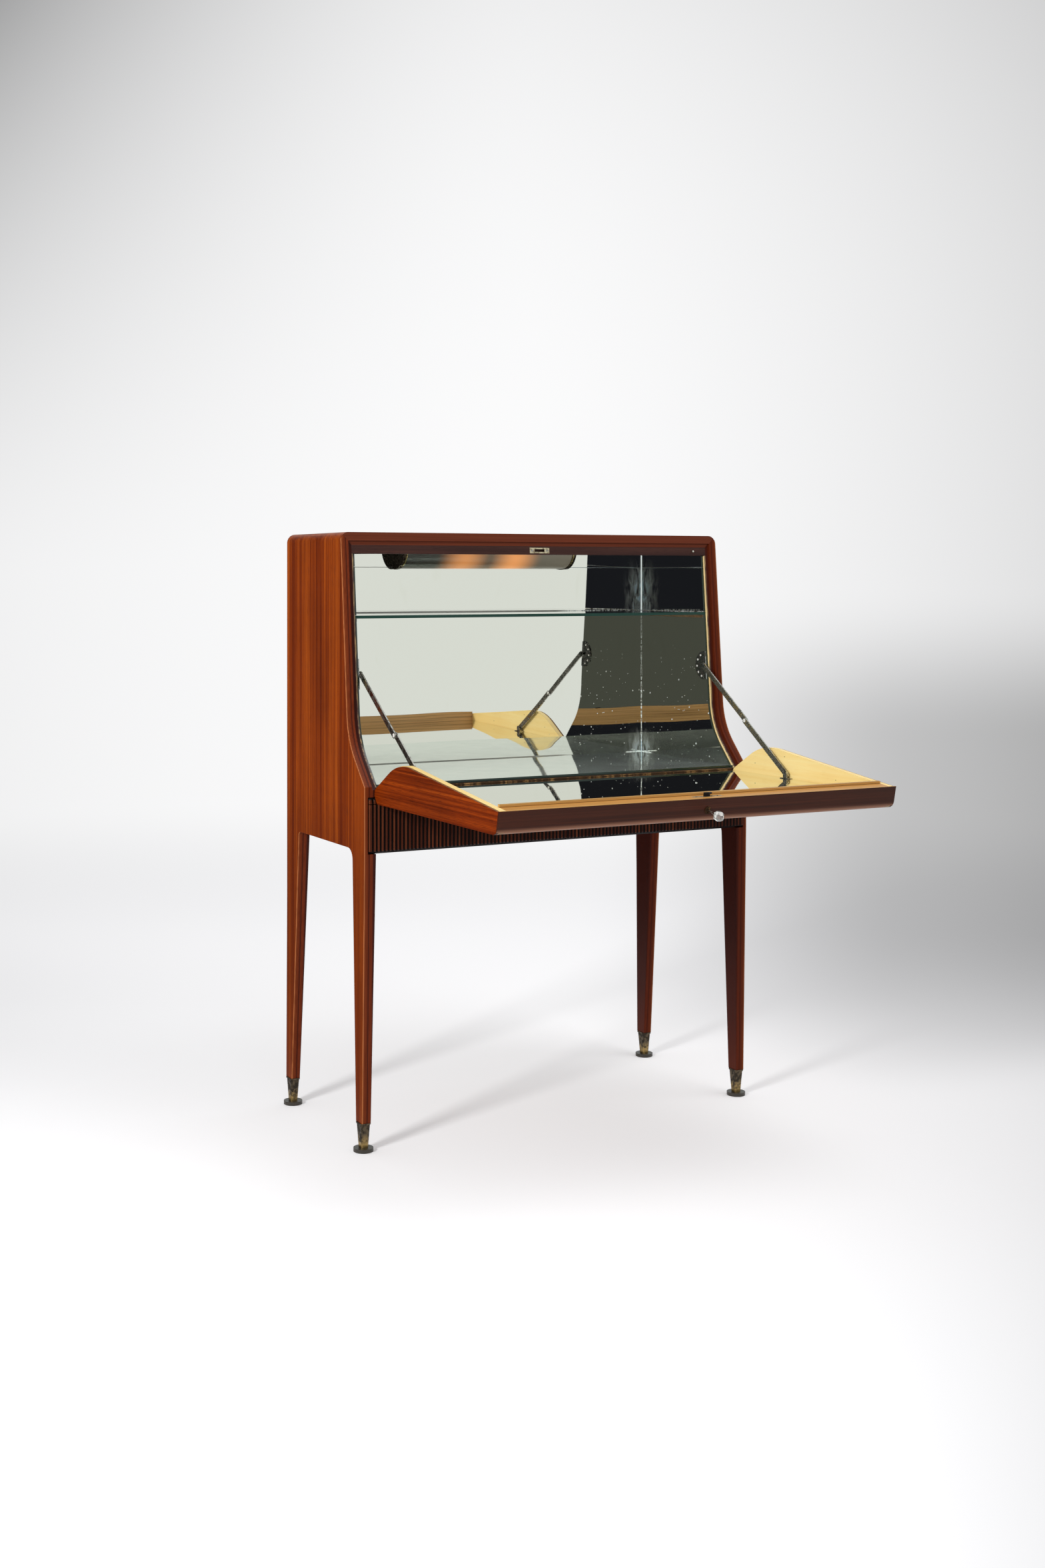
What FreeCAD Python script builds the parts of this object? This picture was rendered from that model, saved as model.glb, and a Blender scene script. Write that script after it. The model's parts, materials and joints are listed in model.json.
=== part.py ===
import FreeCAD, Part

import math
import os

from FreeCAD import Vector

os.makedirs("parts", exist_ok=True)

# Drop-front bar cabinet on four tapered legs, with its flap let down. Millimetres.
# X runs to the right, -Y points out of the front, Z is up, and the floor is at zero.
# While it is built, Y is zero at the rear face of the sides. At the end everything
# moves along Y, so that the origin is at the bottom centre of the whole.

# Carcass
width = 900.0
height = 1200.0
depth = 387.0
side_thickness = 25.4
corner_radius = 18.0
side_foot_z = 581.0
arch_radius_front = 22.0
arch_radius_rear = 10.0

# Front edge of the sides: a leaning run, a flare and an upright foot
frame_set_back = 112.8
frame_lean_deg = 4.8
flare_deg = 42.5
flare_radius = 141.0
frame_foot_z = 706.0
frame_bead = 17.0
frame_rebate = 4.0

# Legs, sabots and discs
front_leg_width = 54.0
front_leg_foot = 27.0
front_leg_taper = 10.0
rear_leg_width = 62.0
rear_leg_foot = 28.0
rear_leg_splay = 4.0
splay_z = 440.0
leg_foot_thickness = 19.0
leg_taper_z = 566.0
sabot_top_z = 56.0
sabot_wall = 1.2
sabot_neck_length = 17.0
sabot_neck_width = 15.0
sabot_chamfer = 3.0
sabot_floor = 5.0
ring_height = 3.0
ring_proud = 1.2
disc_radius = 19.5
disc_height = 7.0

# Panels and linings
back_set = 4.0
back_thickness = 8.0
floor_top_z = 704.0
floor_thickness = 18.0
bottom_thickness = 10.0
divider_thickness = 18.0
lining_back_y = 18.0
lining_back_thickness = 12.0
lining_thickness = 3.0
ceiling_thickness = 6.6
head_rail_height = 17.6
head_rail_depth = 20.0

# Mirrors and glass shelf
mirror_thickness = 5.0
mirror_set = 5.0
mirror_joint = 0.4
upper_joint_drop = 32.0
shelf_height_share = 0.7026
shelf_thickness = 6.0
shelf_rest = 6.0
shelf_rest_end = 12.0
seat_gap = 0.3
floor_mirror_set = 6.4

# Reeded drawer fronts and the reeded rail over them
band_z = 577.0
rail_z = 673.6
rail_depth = 44.0
front_thickness = 15.0
front_proud = 3.5
front_reveal = 9.0
drawer_seam = 1.5
reed_pitch = 8.4
reed_crest = 2.8
reed_depth = 2.8
flute_slope = 1.5
reed_bevel = 6.0
reed_end = 6.0
pocket_gap = 0.7
drawer_head_gap = 1.3

# Drawer boxes
drawer_side = 10.0
drawer_bottom = 5.0
drawer_bottom_raise = 6.0
drawer_clearance = 2.0
drawer_top_room = 1.6
drawer_back_room = 28.0
runner_width = 12.0
runner_height = 5.0
runner_end = 8.0

# Flap, let down about its hinge axis
hinge_drop = 5.0
hinge_proud = 1.0
flap_head_thickness = 42.5
flap_drop = 27.0
flap_board_thickness = 22.0
flap_side_set = 21.5
flap_seat_gap = 1.0
flap_head_gap = 1.6
flap_head_radius = 16.0
flap_facing = 3.0
cheek_outer = 5.0
cheek_set = 3.6
cheek_step = 1.2
cheek_nose_radius = 15.0
cheek_nose_gap = 0.5
cheek_heel_drop = 12.0
cheek_heel_set = 12.0
rail_width = 32.0
moulding_width = 27.0
moulding_thickness = 7.0
lip_height = 4.5
flap_mirror_set = 2.4

# Long hinge
knuckle_radius = 3.0
knuckle_count = 5
knuckle_gap = 0.4
hinge_end_set = 3.0
pin_radius = 1.5
pin_clearance = 0.1
leaf_thickness = 1.2
leaf_height = 13.0
leaf_neck = 2.6

# Folding stays
stay_pivot_set = 3.0
stay_pivot_share = 0.4697
stay_upper_length = 188.0
stay_foot_reach = 191.0
stay_foot_rise = 8.0
stay_width = 12.0
stay_thickness = 2.7
stay_gap = 0.3
plate_height = 60.0
plate_width = 38.0
plate_thickness = 2.0
boss_height = 2.3
rivet_radius = 2.4
rivet_head_radius = 4.4
rivet_head = 1.5
bracket_length = 24.0
bracket_toe = 3.0
bracket_plate = 1.5

# Lock in the flap and strike in the head rail
lock_x = 6.5
lock_length = 64.0
lock_width = 9.0
lock_plate = 1.5
lock_case_length = 44.0
lock_case_depth = 26.0
lock_case_width = 8.6
bolt_stem = 12.0
bolt_nose = 4.0
bolt_thickness = 3.6
bolt_height = 7.0
bolt_nose_height = 2.6
bolt_travel = 6.0
bolt_root = 8.0
bolt_gap = 0.5
strike_length = 47.0
strike_width = 11.6
strike_thickness = 1.5
slot_length = 24.0
slot_width = 5.8
pocket_depth = 9.0

# Key and escutcheon
keyhole_set = 22.0
keyhole_radius = 2.6
keyhole_slot = 5.0
escutcheon_length = 14.0
escutcheon_width = 12.0
escutcheon_thickness = 1.4
shank_radius = 1.7
shank_reach = 26.0
shank_bite = 3.0
knob_size = 17.0

# Light switch plunger in the head rail
plunger_set = 34.6
plunger_radius = 2.0
plunger_clearance = 0.1
plunger_reach = 5.0
plunger_root = 8.0
plunger_room = 1.0

# Corner lamp under the ceiling
lamp_x = -5.0
lamp_length = 428.0
lamp_depth = 54.0
lamp_height = 34.0
lamp_wall = 2.0
lamp_back = 1.0
lamp_cap = 9.0
lamp_cap_proud = 1.4
bulb_spread = 118.0
bulb_radius = 9.0
bulb_length = 62.0
bulb_place_shares = (0.34, 0.44)
holder_radius = 7.5
holder_length = 24.0
holder_foot = 8.0

overrun = 20.0
seam = 0.001

half_width = width / 2
inner_half = half_width - side_thickness
lining_half = inner_half - lining_thickness
mirror_half = lining_half - mirror_thickness
front_half = half_width - front_reveal
top_under_z = height - side_thickness
head_rail_z = top_under_z - head_rail_height
ceiling_z = top_under_z - ceiling_thickness - mirror_thickness
floor_mirror_z = floor_top_z + mirror_thickness
upper_joint_z = ceiling_z - upper_joint_drop
shelf_z = floor_mirror_z + (ceiling_z - floor_mirror_z) * shelf_height_share
band_top_z = floor_top_z - floor_thickness
panel_front_y = -back_set - back_thickness
lining_front_y = -lining_back_y - lining_back_thickness
mirror_front_y = lining_front_y - mirror_thickness
mirror_offset = frame_rebate + mirror_set
crest_y = -depth - front_proud
front_back_y = crest_y + front_thickness
flap_offset = frame_rebate - flap_seat_gap
hinge_y = -depth - hinge_proud
hinge_z = frame_foot_z - hinge_drop
leaf_reach = knuckle_radius + leaf_thickness / 2
floor_front_y = hinge_y + leaf_reach
flap_top_z = height - frame_bead - flap_head_gap
frame_lean = math.radians(frame_lean_deg)
flap_half_width = half_width - flap_side_set
cheek_half = mirror_half - cheek_set
hinge_half_length = cheek_half - hinge_end_set
stay_pivot_z = hinge_z + (ceiling_z - hinge_z) * stay_pivot_share
plunger_x = inner_half - plunger_set
frame_top_depth = depth - frame_set_back
arris_drop_y = (height - flap_top_z) * math.tan(frame_lean)
arris_y = flap_offset / math.cos(frame_lean) - frame_top_depth - arris_drop_y
head_y = arris_y - flap_head_thickness - hinge_y
head_rise = flap_top_z - hinge_z
head_reach = math.hypot(head_y, head_rise)
flap_lean = math.acos(-flap_drop / head_reach) - math.atan2(head_rise, head_y)
flap_swing_deg = 90 + math.degrees(flap_lean)
runner_z = side_foot_z + bottom_thickness + runner_height
drawer_z = runner_z + seat_gap
plunger_travel = plunger_reach - flap_seat_gap + seat_gap
far = width + height


def box(x0, x1, y0, y1, z0, z1):
    """A block between two corners given axis by axis."""
    low = Vector(min(x0, x1), min(y0, y1), min(z0, z1))
    return Part.makeBox(abs(x1 - x0), abs(y1 - y0), abs(z1 - z0), low)


def rod(radius, start, end):
    """A round bar between two points."""
    return Part.makeCylinder(radius, (end - start).Length, start, end - start)


def flat(first, second):
    """A point of an outline."""
    return Vector(first, second, 0)


def sharp(*points):
    """Corners of an outline that are not rounded."""
    return [(point, 0) for point in points]


def corner_arc(before, here, after, radius):
    """First, middle and last point of the arc that rounds one corner."""
    if not radius:
        return here, None, here
    to_before = (before - here).normalize()
    to_after = (after - here).normalize()
    half_turn = to_before.getAngle(to_after) / 2
    reach = radius / math.tan(half_turn)
    inward = (to_before + to_after).normalize()
    middle = here + inward * (radius / math.sin(half_turn) - radius)
    return here + to_before * reach, middle, here + to_after * reach


def outline(corners, place):
    """A flat face through rounded corners; place puts an outline point in space."""
    arcs = []
    for index, (here, radius) in enumerate(corners):
        before = corners[index - 1][0]
        after = corners[(index + 1) % len(corners)][0]
        arcs.append(corner_arc(before, here, after, radius))
    edges = []
    for index, (first, middle, last) in enumerate(arcs):
        if middle:
            edges.append(Part.Arc(place(first), place(middle), place(last)).toShape())
        following = arcs[(index + 1) % len(arcs)][0]
        if (following - last).Length > seam:
            edges.append(Part.makeLine(place(last), place(following)))
    return Part.Face(Part.Wire(edges))


def across(corners, x0, x1):
    """A solid between two planes of X, from an outline in Y and Z."""
    return outline(corners, lambda p: Vector(x0, p.x, p.y)).extrude(Vector(x1 - x0, 0, 0))


def rearward(corners, y0, y1):
    """A solid between two planes of Y, from an outline in X and Z."""
    return outline(corners, lambda p: Vector(p.x, y0, p.y)).extrude(Vector(0, y1 - y0, 0))


def upward(corners, z0, z1):
    """A solid between two planes of Z, from an outline in X and Y."""
    return outline(corners, lambda p: Vector(p.x, p.y, z0)).extrude(Vector(0, 0, z1 - z0))


def mirrored(shape):
    """The same piece for the left hand side."""
    return shape.mirror(Vector(0, 0, 0), Vector(1, 0, 0))


def backward(angle):
    """Direction square to a line that leans back by angle."""
    return flat(math.cos(angle), -math.sin(angle))


def line_of(start, angle, offset):
    """Point and direction of a line that leans back by angle, moved back by offset."""
    return start + backward(angle) * offset, flat(math.sin(angle), math.cos(angle))


def upper_edge(offset):
    """The leaning run of the sides' front edge, moved back by offset."""
    return line_of(flat(-frame_top_depth, height), frame_lean, offset)


def flare_edge(offset):
    """The flared run of the sides' front edge, moved back by offset."""
    return line_of(flat(-depth, frame_foot_z), math.radians(flare_deg), offset)


def flap_line(offset):
    """A line along the closed flap, moved back from the hinge axis by offset."""
    return line_of(flat(hinge_y, hinge_z), flap_lean, offset)


def crossing(one, other):
    """The point where two lines meet."""
    start, along = one
    base, heading = other
    turn = along.x * heading.y - along.y * heading.x
    gap = base - start
    return start + along * ((gap.x * heading.y - gap.y * heading.x) / turn)


def level(z):
    """A level line at one height."""
    return flat(0, z), flat(1, 0)


def front_run(offset, low_z, high_z):
    """Front edge corners, moved back by offset, from high_z down to low_z in the flare."""
    bend = crossing(upper_edge(offset), flare_edge(offset))
    top = crossing(upper_edge(offset), level(high_z))
    foot = crossing(flare_edge(offset), level(low_z))
    return [(top, 0), (bend, flare_radius + offset), (foot, 0)]


def leaned(shape, point):
    """Set a piece made upright at the origin against the leaning frame at a point."""
    shape.rotate(Vector(0, 0, 0), Vector(1, 0, 0), -frame_lean_deg)
    shape.translate(Vector(0, point.x, point.y))
    return shape


def let_down(shape):
    """Swing a piece of the closed flap down to where it is open."""
    shape.rotate(Vector(0, hinge_y, hinge_z), Vector(1, 0, 0), flap_swing_deg)
    return shape


def lock_point(offset):
    """Where the lock's centre line meets the leaning plane at offset from the frame."""
    middle = level((head_rail_z + top_under_z) / 2)
    start = crossing(upper_edge(flap_offset), middle)
    return start + backward(frame_lean) * (offset - flap_offset)


def leg_feet():
    """Middle and half lengths, in X and Y, of the right legs where they enter the sabots."""
    half_x = leg_foot_thickness / 2
    front_y = -depth + front_leg_taper
    front = Vector(half_width - half_x, front_y + front_leg_foot / 2, 0)
    rear = Vector(half_width - half_x, rear_leg_splay - rear_leg_foot / 2, 0)
    return [(front, half_x, front_leg_foot / 2), (rear, half_x, rear_leg_foot / 2)]


def sabot_section(foot, z, inset):
    """A chamfered section of a sabot at one height, drawn in by inset."""
    middle, top_x, top_y = foot
    share = (sabot_top_z - z) / (sabot_top_z - disc_height)
    half_x = top_x + (sabot_neck_width / 2 - top_x) * share - inset
    half_y = top_y + (sabot_neck_length / 2 - top_y) * share - inset
    cut = sabot_chamfer - inset * (2 - math.sqrt(2))
    points = []
    for side_x, side_y, turned in ((1, 1, False), (-1, 1, True), (-1, -1, False), (1, -1, True)):
        pair = [(half_x, half_y - cut), (half_x - cut, half_y)]
        for x, y in reversed(pair) if turned else pair:
            points.append(middle + Vector(x * side_x, y * side_y, z))
    return Part.makePolygon(points + points[:1])


def sabot_core(foot, inset, low_z):
    """The tapered body of a sabot, from low_z to its top."""
    sections = [sabot_section(foot, low_z, inset), sabot_section(foot, sabot_top_z, inset)]
    return Part.makeLoft(sections, True, True)


def sabots_and_discs():
    """Four hollow metal shoes and the four discs that they stand on."""
    shoes = []
    discs = []
    for foot in leg_feet():
        ring = Part.Face(sabot_section(foot, sabot_top_z, -ring_proud))
        ring = ring.extrude(Vector(0, 0, -ring_height))
        shoe = sabot_core(foot, 0, disc_height).fuse(ring)
        shoe = shoe.cut(sabot_core(foot, sabot_wall, disc_height + sabot_floor))
        disc = Part.makeCylinder(disc_radius, disc_height, foot[0])
        shoes += [shoe.removeSplitter(), mirrored(shoe.removeSplitter())]
        discs += [disc, mirrored(disc)]
    return {"sabots": shoes, "foot_discs": discs}


def head_rail_blank():
    """The rail under the top, before the strike and the switch are let in."""
    front = upper_edge(frame_rebate)
    top = crossing(front, level(top_under_z))
    foot = crossing(front, level(head_rail_z))
    rear_y = top.x + head_rail_depth
    rear = sharp(flat(rear_y, top_under_z), flat(rear_y, head_rail_z))
    return across(sharp(foot, top) + rear, -inner_half, inner_half)


def rebate_zone(x0, x1):
    """The space in front of the rebate, down to where it runs out in the foot."""
    run = front_run(frame_rebate, band_top_z, height + overrun)
    outside = sharp(flat(-far, band_top_z), flat(-far, height + overrun))
    return across(run + outside, x0, x1)


def side_panel():
    """The right side with its two legs, its moulded front edge and the plugs in the sabots."""
    front_foot, rear_foot = leg_feet()
    corners = front_run(0, frame_foot_z, height)
    corners += sharp(
        flat(-depth, band_z),
        flat(front_foot[0].y - front_foot[2], sabot_top_z),
        flat(front_foot[0].y + front_foot[2], sabot_top_z),
    )
    corners.append((flat(-depth + front_leg_width, side_foot_z), arch_radius_front))
    corners.append((flat(-rear_leg_width, side_foot_z), arch_radius_rear))
    corners += sharp(
        flat(rear_foot[0].y - rear_foot[2], sabot_top_z),
        flat(rear_foot[0].y + rear_foot[2], sabot_top_z),
        flat(0, splay_z),
        flat(0, height),
    )
    side = across(corners, inner_half, half_width)
    side = side.cut(rebate_zone(inner_half - overrun, half_width - frame_bead))
    taper = sharp(
        flat(inner_half, leg_taper_z),
        flat(half_width - leg_foot_thickness, sabot_top_z),
        flat(inner_half - overrun, sabot_top_z),
        flat(inner_half - overrun, leg_taper_z),
    )
    side = side.cut(rearward(taper, -far, far))
    reach = side_thickness + overrun
    mitre = sharp(
        flat(inner_half, top_under_z),
        flat(inner_half + reach, top_under_z + reach),
        flat(inner_half - overrun, top_under_z + reach),
    )
    side = side.cut(rearward(mitre, -far, far))
    side = side.cut(box(
        inner_half - overrun, front_half + pocket_gap,
        -far, front_back_y + pocket_gap,
        band_z - pocket_gap, band_top_z,
    ))
    for foot in (front_foot, rear_foot):
        side = side.fuse(sabot_core(foot, sabot_wall, disc_height + sabot_floor))
    return side.common(rounded_envelope()).removeSplitter()


def rounded_envelope():
    """The space inside the cabinet's outer faces, with the two upper corners rounded."""
    corners = sharp(flat(-half_width, 0), flat(half_width, 0))
    corners += [(flat(half_width, height), corner_radius), (flat(-half_width, height), corner_radius)]
    return rearward(corners, -far, far)


def top_panel():
    """The top, mitred into both sides, with the rebate along its lower front edge."""
    front = upper_edge(0)
    profile = sharp(
        crossing(front, level(height)),
        crossing(front, level(top_under_z)),
        flat(0, top_under_z),
        flat(0, height),
    )
    top = across(profile, -half_width, half_width)
    bead_x = half_width - frame_bead
    zone = rebate_zone(-bead_x, bead_x)
    top = top.cut(zone.common(box(-far, far, -far, far, 0, height - frame_bead)))
    reach = side_thickness + overrun
    mitre = sharp(
        flat(inner_half, top_under_z),
        flat(inner_half + reach, top_under_z + reach),
        flat(inner_half + reach, top_under_z - overrun),
    )
    wedge = rearward(mitre, -far, far)
    return top.cut(wedge).cut(mirrored(wedge)).common(rounded_envelope())


def carcass():
    """Sides, top, boards, back and rails."""
    side = side_panel()
    back = box(-inner_half, inner_half, panel_front_y, -back_set, side_foot_z, top_under_z)
    floor = box(-inner_half, inner_half, floor_front_y, panel_front_y, band_top_z, floor_top_z)
    bottom_top = side_foot_z + bottom_thickness
    stop_y = front_back_y + seat_gap
    bottom = box(-inner_half, inner_half, stop_y, panel_front_y, side_foot_z, bottom_top)
    divider_half = divider_thickness / 2
    divider = box(-divider_half, divider_half, stop_y, panel_front_y, bottom_top, band_top_z)
    rail = fascia_rail()
    return {
        "side_panel_right": [side],
        "side_panel_left": [mirrored(side)],
        "top_panel": [top_panel()],
        "head_rail": [head_rail()],
        "back_panel": [back],
        "floor_board": [floor],
        "bottom_panel": [bottom],
        "drawer_divider": [divider.cut(rail)],
        "fascia_rail": [rail],
    }


def linings():
    """Thin linings behind the mirrors."""
    rail = head_rail_blank()
    run = front_run(frame_rebate, floor_top_z, top_under_z)
    rear = sharp(flat(lining_front_y, floor_top_z), flat(lining_front_y, top_under_z))
    side = across(run + rear, lining_half, inner_half).cut(rail)
    back = box(
        -inner_half, inner_half, lining_front_y, -lining_back_y, floor_top_z, top_under_z,
    )
    ceiling_y = rail.BoundBox.YMax
    ceiling = box(
        -lining_half, lining_half, ceiling_y, lining_front_y,
        ceiling_z + mirror_thickness, top_under_z,
    )
    return {
        "side_lining_right": [side],
        "side_lining_left": [mirrored(side)],
        "back_lining": [back],
        "ceiling_lining": [ceiling],
    }


def mirrors():
    """Mirror plates on every inner face, parted at the shelf and once above it."""
    rail = head_rail_blank()
    shelf_top = shelf_z + shelf_thickness
    lower = (floor_mirror_z, shelf_z - seat_gap)
    middle = (shelf_top + seat_gap, upper_joint_z)
    upper = (upper_joint_z + mirror_joint, ceiling_z)
    run = front_run(mirror_offset, lower[0], lower[1])
    rear = sharp(flat(mirror_front_y, lower[0]), flat(mirror_front_y, lower[1]))
    sides = [across(run + rear, mirror_half, lining_half)]
    backs = [box(-lining_half, lining_half, mirror_front_y, lining_front_y, *lower)]
    for low, high in (middle, upper):
        front = upper_edge(mirror_offset)
        plate = sharp(
            crossing(front, level(high)), crossing(front, level(low)),
            flat(mirror_front_y, low), flat(mirror_front_y, high),
        )
        sides.append(across(plate, mirror_half, lining_half).cut(rail))
        backs.append(box(-lining_half, lining_half, mirror_front_y, lining_front_y, low, high))
    floor = box(
        -lining_half, lining_half, floor_front_y + floor_mirror_set, lining_front_y,
        floor_top_z, floor_mirror_z,
    )
    ceiling = box(
        -lining_half, lining_half, rail.BoundBox.YMax, lining_front_y,
        ceiling_z, ceiling_z + mirror_thickness,
    )
    return {
        "mirror_right": sides,
        "mirror_left": [mirrored(plate) for plate in sides],
        "mirror_back": backs,
        "mirror_floor": [floor],
        "mirror_ceiling": [ceiling],
    }


def shelf():
    """The glass shelf and the two strips under its ends."""
    front_y = crossing(upper_edge(mirror_offset), level(shelf_z)).x
    half = lining_half - seat_gap
    glass = box(
        -half, half, front_y, lining_front_y - seat_gap, shelf_z, shelf_z + shelf_thickness,
    )
    rest = box(
        mirror_half - shelf_rest, mirror_half,
        front_y + shelf_rest_end, mirror_front_y, shelf_z - shelf_rest, shelf_z,
    )
    return {"glass_shelf": [glass], "shelf_rests": [rest, mirrored(rest)]}


def reeded_board(start_x, end_x, low_z, high_z):
    """A board with upright flutes in its front, the first one beside the middle seam."""
    first_x = drawer_seam / 2 + reed_crest / 2
    run = end_x - reed_end + reed_crest - first_x
    count = round(run / reed_pitch)
    pitch = run / count
    flute = pitch - reed_crest
    points = [flat(start_x, crest_y)]
    for index in range(count):
        left_x = first_x + index * pitch
        points += [
            flat(left_x, crest_y), flat(left_x + flute_slope, crest_y + reed_depth),
            flat(left_x + flute - flute_slope, crest_y + reed_depth), flat(left_x + flute, crest_y),
        ]
    points += [flat(end_x, crest_y), flat(end_x, front_back_y), flat(start_x, front_back_y)]
    return upward(sharp(*points), low_z, high_z)


def bevel_wedge(edge_z, inward):
    """The wedge that bevels the ends of the reeds; inward is 1 or -1 along Z."""
    return across(sharp(
        flat(crest_y + reed_bevel + overrun, edge_z - inward * overrun),
        flat(crest_y - overrun, edge_z + inward * (reed_bevel + overrun)),
        flat(crest_y - overrun, edge_z - inward * overrun),
    ), -far, far)


def fascia_rail():
    """The rail between drawers and floor board, whose reeds carry on those below it."""
    half = reeded_board(0, front_half, rail_z, band_top_z)
    half = half.cut(bevel_wedge(band_top_z, -1))
    inner = box(-inner_half, inner_half, front_back_y, crest_y + rail_depth, rail_z, band_top_z)
    return half.fuse([mirrored(half), inner]).removeSplitter()


def drawer():
    """The right drawer: reeded front, box of four walls and bottom."""
    front = reeded_board(drawer_seam / 2, front_half, band_z, rail_z - drawer_head_gap)
    front = front.cut(bevel_wedge(band_z, 1))
    left_x = divider_thickness / 2 + drawer_clearance
    right_x = inner_half - drawer_clearance
    back_y = panel_front_y - drawer_back_room
    top_z = rail_z - drawer_top_room
    walls = box(left_x, right_x, front_back_y, back_y, drawer_z, top_z)
    room = (
        left_x + drawer_side, right_x - drawer_side,
        front_back_y + drawer_side, back_y - drawer_side,
    )
    walls = walls.cut(box(*room, drawer_z - overrun, top_z + overrun))
    low_z = drawer_z + drawer_bottom_raise
    return front, walls, box(*room, low_z, low_z + drawer_bottom)


def drawers():
    """Both drawers and the runners that they slide on."""
    pieces = {}
    for name, piece in zip(("front", "box", "bottom"), drawer()):
        pieces["drawer_right_" + name] = [piece]
        pieces["drawer_left_" + name] = [mirrored(piece)]
    inside = divider_thickness / 2
    spans = ((inside, inside + runner_width), (inner_half - runner_width, inner_half))
    front_y = front_back_y + runner_end
    runners = []
    for left_x, right_x in spans:
        runner = box(
            left_x, right_x, front_y, panel_front_y, runner_z - runner_height, runner_z,
        )
        runners += [runner, mirrored(runner)]
    pieces["drawer_runners"] = runners
    return pieces


def flap_point(out, along):
    """A point of the closed flap: out from the hinge axis and along the flap."""
    start, heading = flap_line(-out)
    return start + heading * along


def flap_across(out, along):
    """Line across the thickness of the closed flap."""
    return flap_point(out, along), backward(flap_lean)


def flap_arris():
    """The closed flap's upper rear arris."""
    return crossing(upper_edge(flap_offset), level(flap_top_z))


def rail_inner_along():
    """How far along the flap its front rail begins."""
    heading = flap_line(0)[1]
    return (flap_arris() - flat(hinge_y, hinge_z)).dot(heading) - rail_width


def facing_zone():
    """The space of the thin facing on the flap's free end."""
    return box(-far, far, -far, far, flap_top_z - flap_facing, flap_top_z + overrun)


def cheek(offset, x0, x1):
    """One layer of the right cheek; its edge follows the sides' front edge at offset."""
    outer = flap_line(-flap_drop)
    nose = crossing(flap_across(0, cheek_nose_gap), flare_edge(offset))
    bend = crossing(upper_edge(offset), flare_edge(offset))
    corners = sharp(crossing(upper_edge(offset), level(flap_top_z)))
    corners.append((crossing(outer, level(flap_top_z)), flap_head_radius))
    corners += sharp(
        flap_point(flap_drop, cheek_heel_set), flap_point(cheek_heel_drop, cheek_nose_gap),
    )
    corners += [(nose, cheek_nose_radius), (bend, flare_radius + offset)]
    return let_down(across(corners, x0, x1).cut(facing_zone()))


def front_rail():
    """Facing, rail and moulding at the free end of the closed flap."""
    arris = flap_arris()
    heading = upper_edge(flap_offset)[1]
    back = backward(frame_lean)
    inner_along = rail_inner_along()
    inner = flap_across(0, inner_along)
    head = (crossing(flap_line(-flap_drop), level(flap_top_z)), flap_head_radius)
    foot = flap_point(flap_drop, inner_along)
    moulding_end = arris - heading * moulding_width
    block = sharp(arris) + [head] + sharp(foot, crossing(inner, upper_edge(flap_offset)))
    facing = across(block, -flap_half_width, flap_half_width).common(facing_zone())
    moulding = across(sharp(
        arris, moulding_end,
        moulding_end - back * moulding_thickness, arris - back * moulding_thickness,
    ), -cheek_half, cheek_half).cut(facing_zone())
    lip = crossing(inner, upper_edge(flap_offset + lip_height))
    body = sharp(arris) + [head]
    body += sharp(foot, lip, moulding_end + back * lip_height, moulding_end)
    rail = across(body, -cheek_half, cheek_half).cut(facing_zone()).cut(moulding)
    return facing, rail, moulding


def flap():
    """Board, cheeks, front rail, moulding and mirror of the flap."""
    front_y = hinge_y - rail_inner_along()
    board_top = hinge_z - flap_drop + flap_board_thickness
    board_y = hinge_y - leaf_reach
    board = box(-cheek_half, cheek_half, board_y, front_y, hinge_z - flap_drop, board_top)
    glass = box(
        -cheek_half, cheek_half, board_y - flap_mirror_set, front_y,
        board_top, board_top + mirror_thickness,
    )
    facing, rail, moulding = front_rail()
    mortise = lock_case_blank()
    key_way = key_bore(keyhole_radius, lock_point(flap_offset).y)
    facing = let_down(facing.cut(key_way))
    rail = let_down(rail.cut(mortise).cut(key_way))
    moulding = let_down(moulding.cut(mortise))
    layer_x = flap_half_width - cheek_outer
    lining = cheek(flap_offset, cheek_half, layer_x)
    veneer = cheek(flap_offset - cheek_step, layer_x, flap_half_width)
    return {
        "flap_board": [board],
        "mirror_flap": [glass],
        "flap_front_rail": [rail, facing],
        "flap_rebate_moulding": [moulding],
        "flap_cheek_right": [veneer],
        "flap_cheek_left": [mirrored(veneer)],
        "flap_cheek_lining_right": [lining],
        "flap_cheek_lining_left": [mirrored(lining)],
    }


def hinge():
    """Long hinge: two leaves with alternate knuckles, and the pin through them."""
    start = Vector(-hinge_half_length, hinge_y, hinge_z)
    end = Vector(hinge_half_length, hinge_y, hinge_z)
    pitch = 2 * hinge_half_length / knuckle_count
    bore = rod(pin_radius + pin_clearance, start, end)
    neck_z = hinge_z - leaf_neck
    leaves = []
    for parity, side in ((0, 1), (1, -1)):
        near_y = hinge_y + side * (leaf_reach - leaf_thickness)
        far_y = hinge_y + side * leaf_reach
        low_z = hinge_z - leaf_height
        leaf = box(start.x, end.x, near_y, far_y, low_z, neck_z)
        additions = []
        for index in range(parity, knuckle_count, 2):
            left = start + Vector(index * pitch + knuckle_gap / 2, 0, 0)
            right = left + Vector(pitch - knuckle_gap, 0, 0)
            additions.append(rod(knuckle_radius, left, right))
            additions.append(box(left.x, right.x, near_y, far_y, neck_z, hinge_z))
        leaves.append(leaf.fuse(additions).cut(bore).removeSplitter())
    pin = rod(pin_radius, start, end)
    return {"hinge_leaf_body": [leaves[0]], "hinge_leaf_flap": [leaves[1]], "hinge_pin": [pin]}


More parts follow.
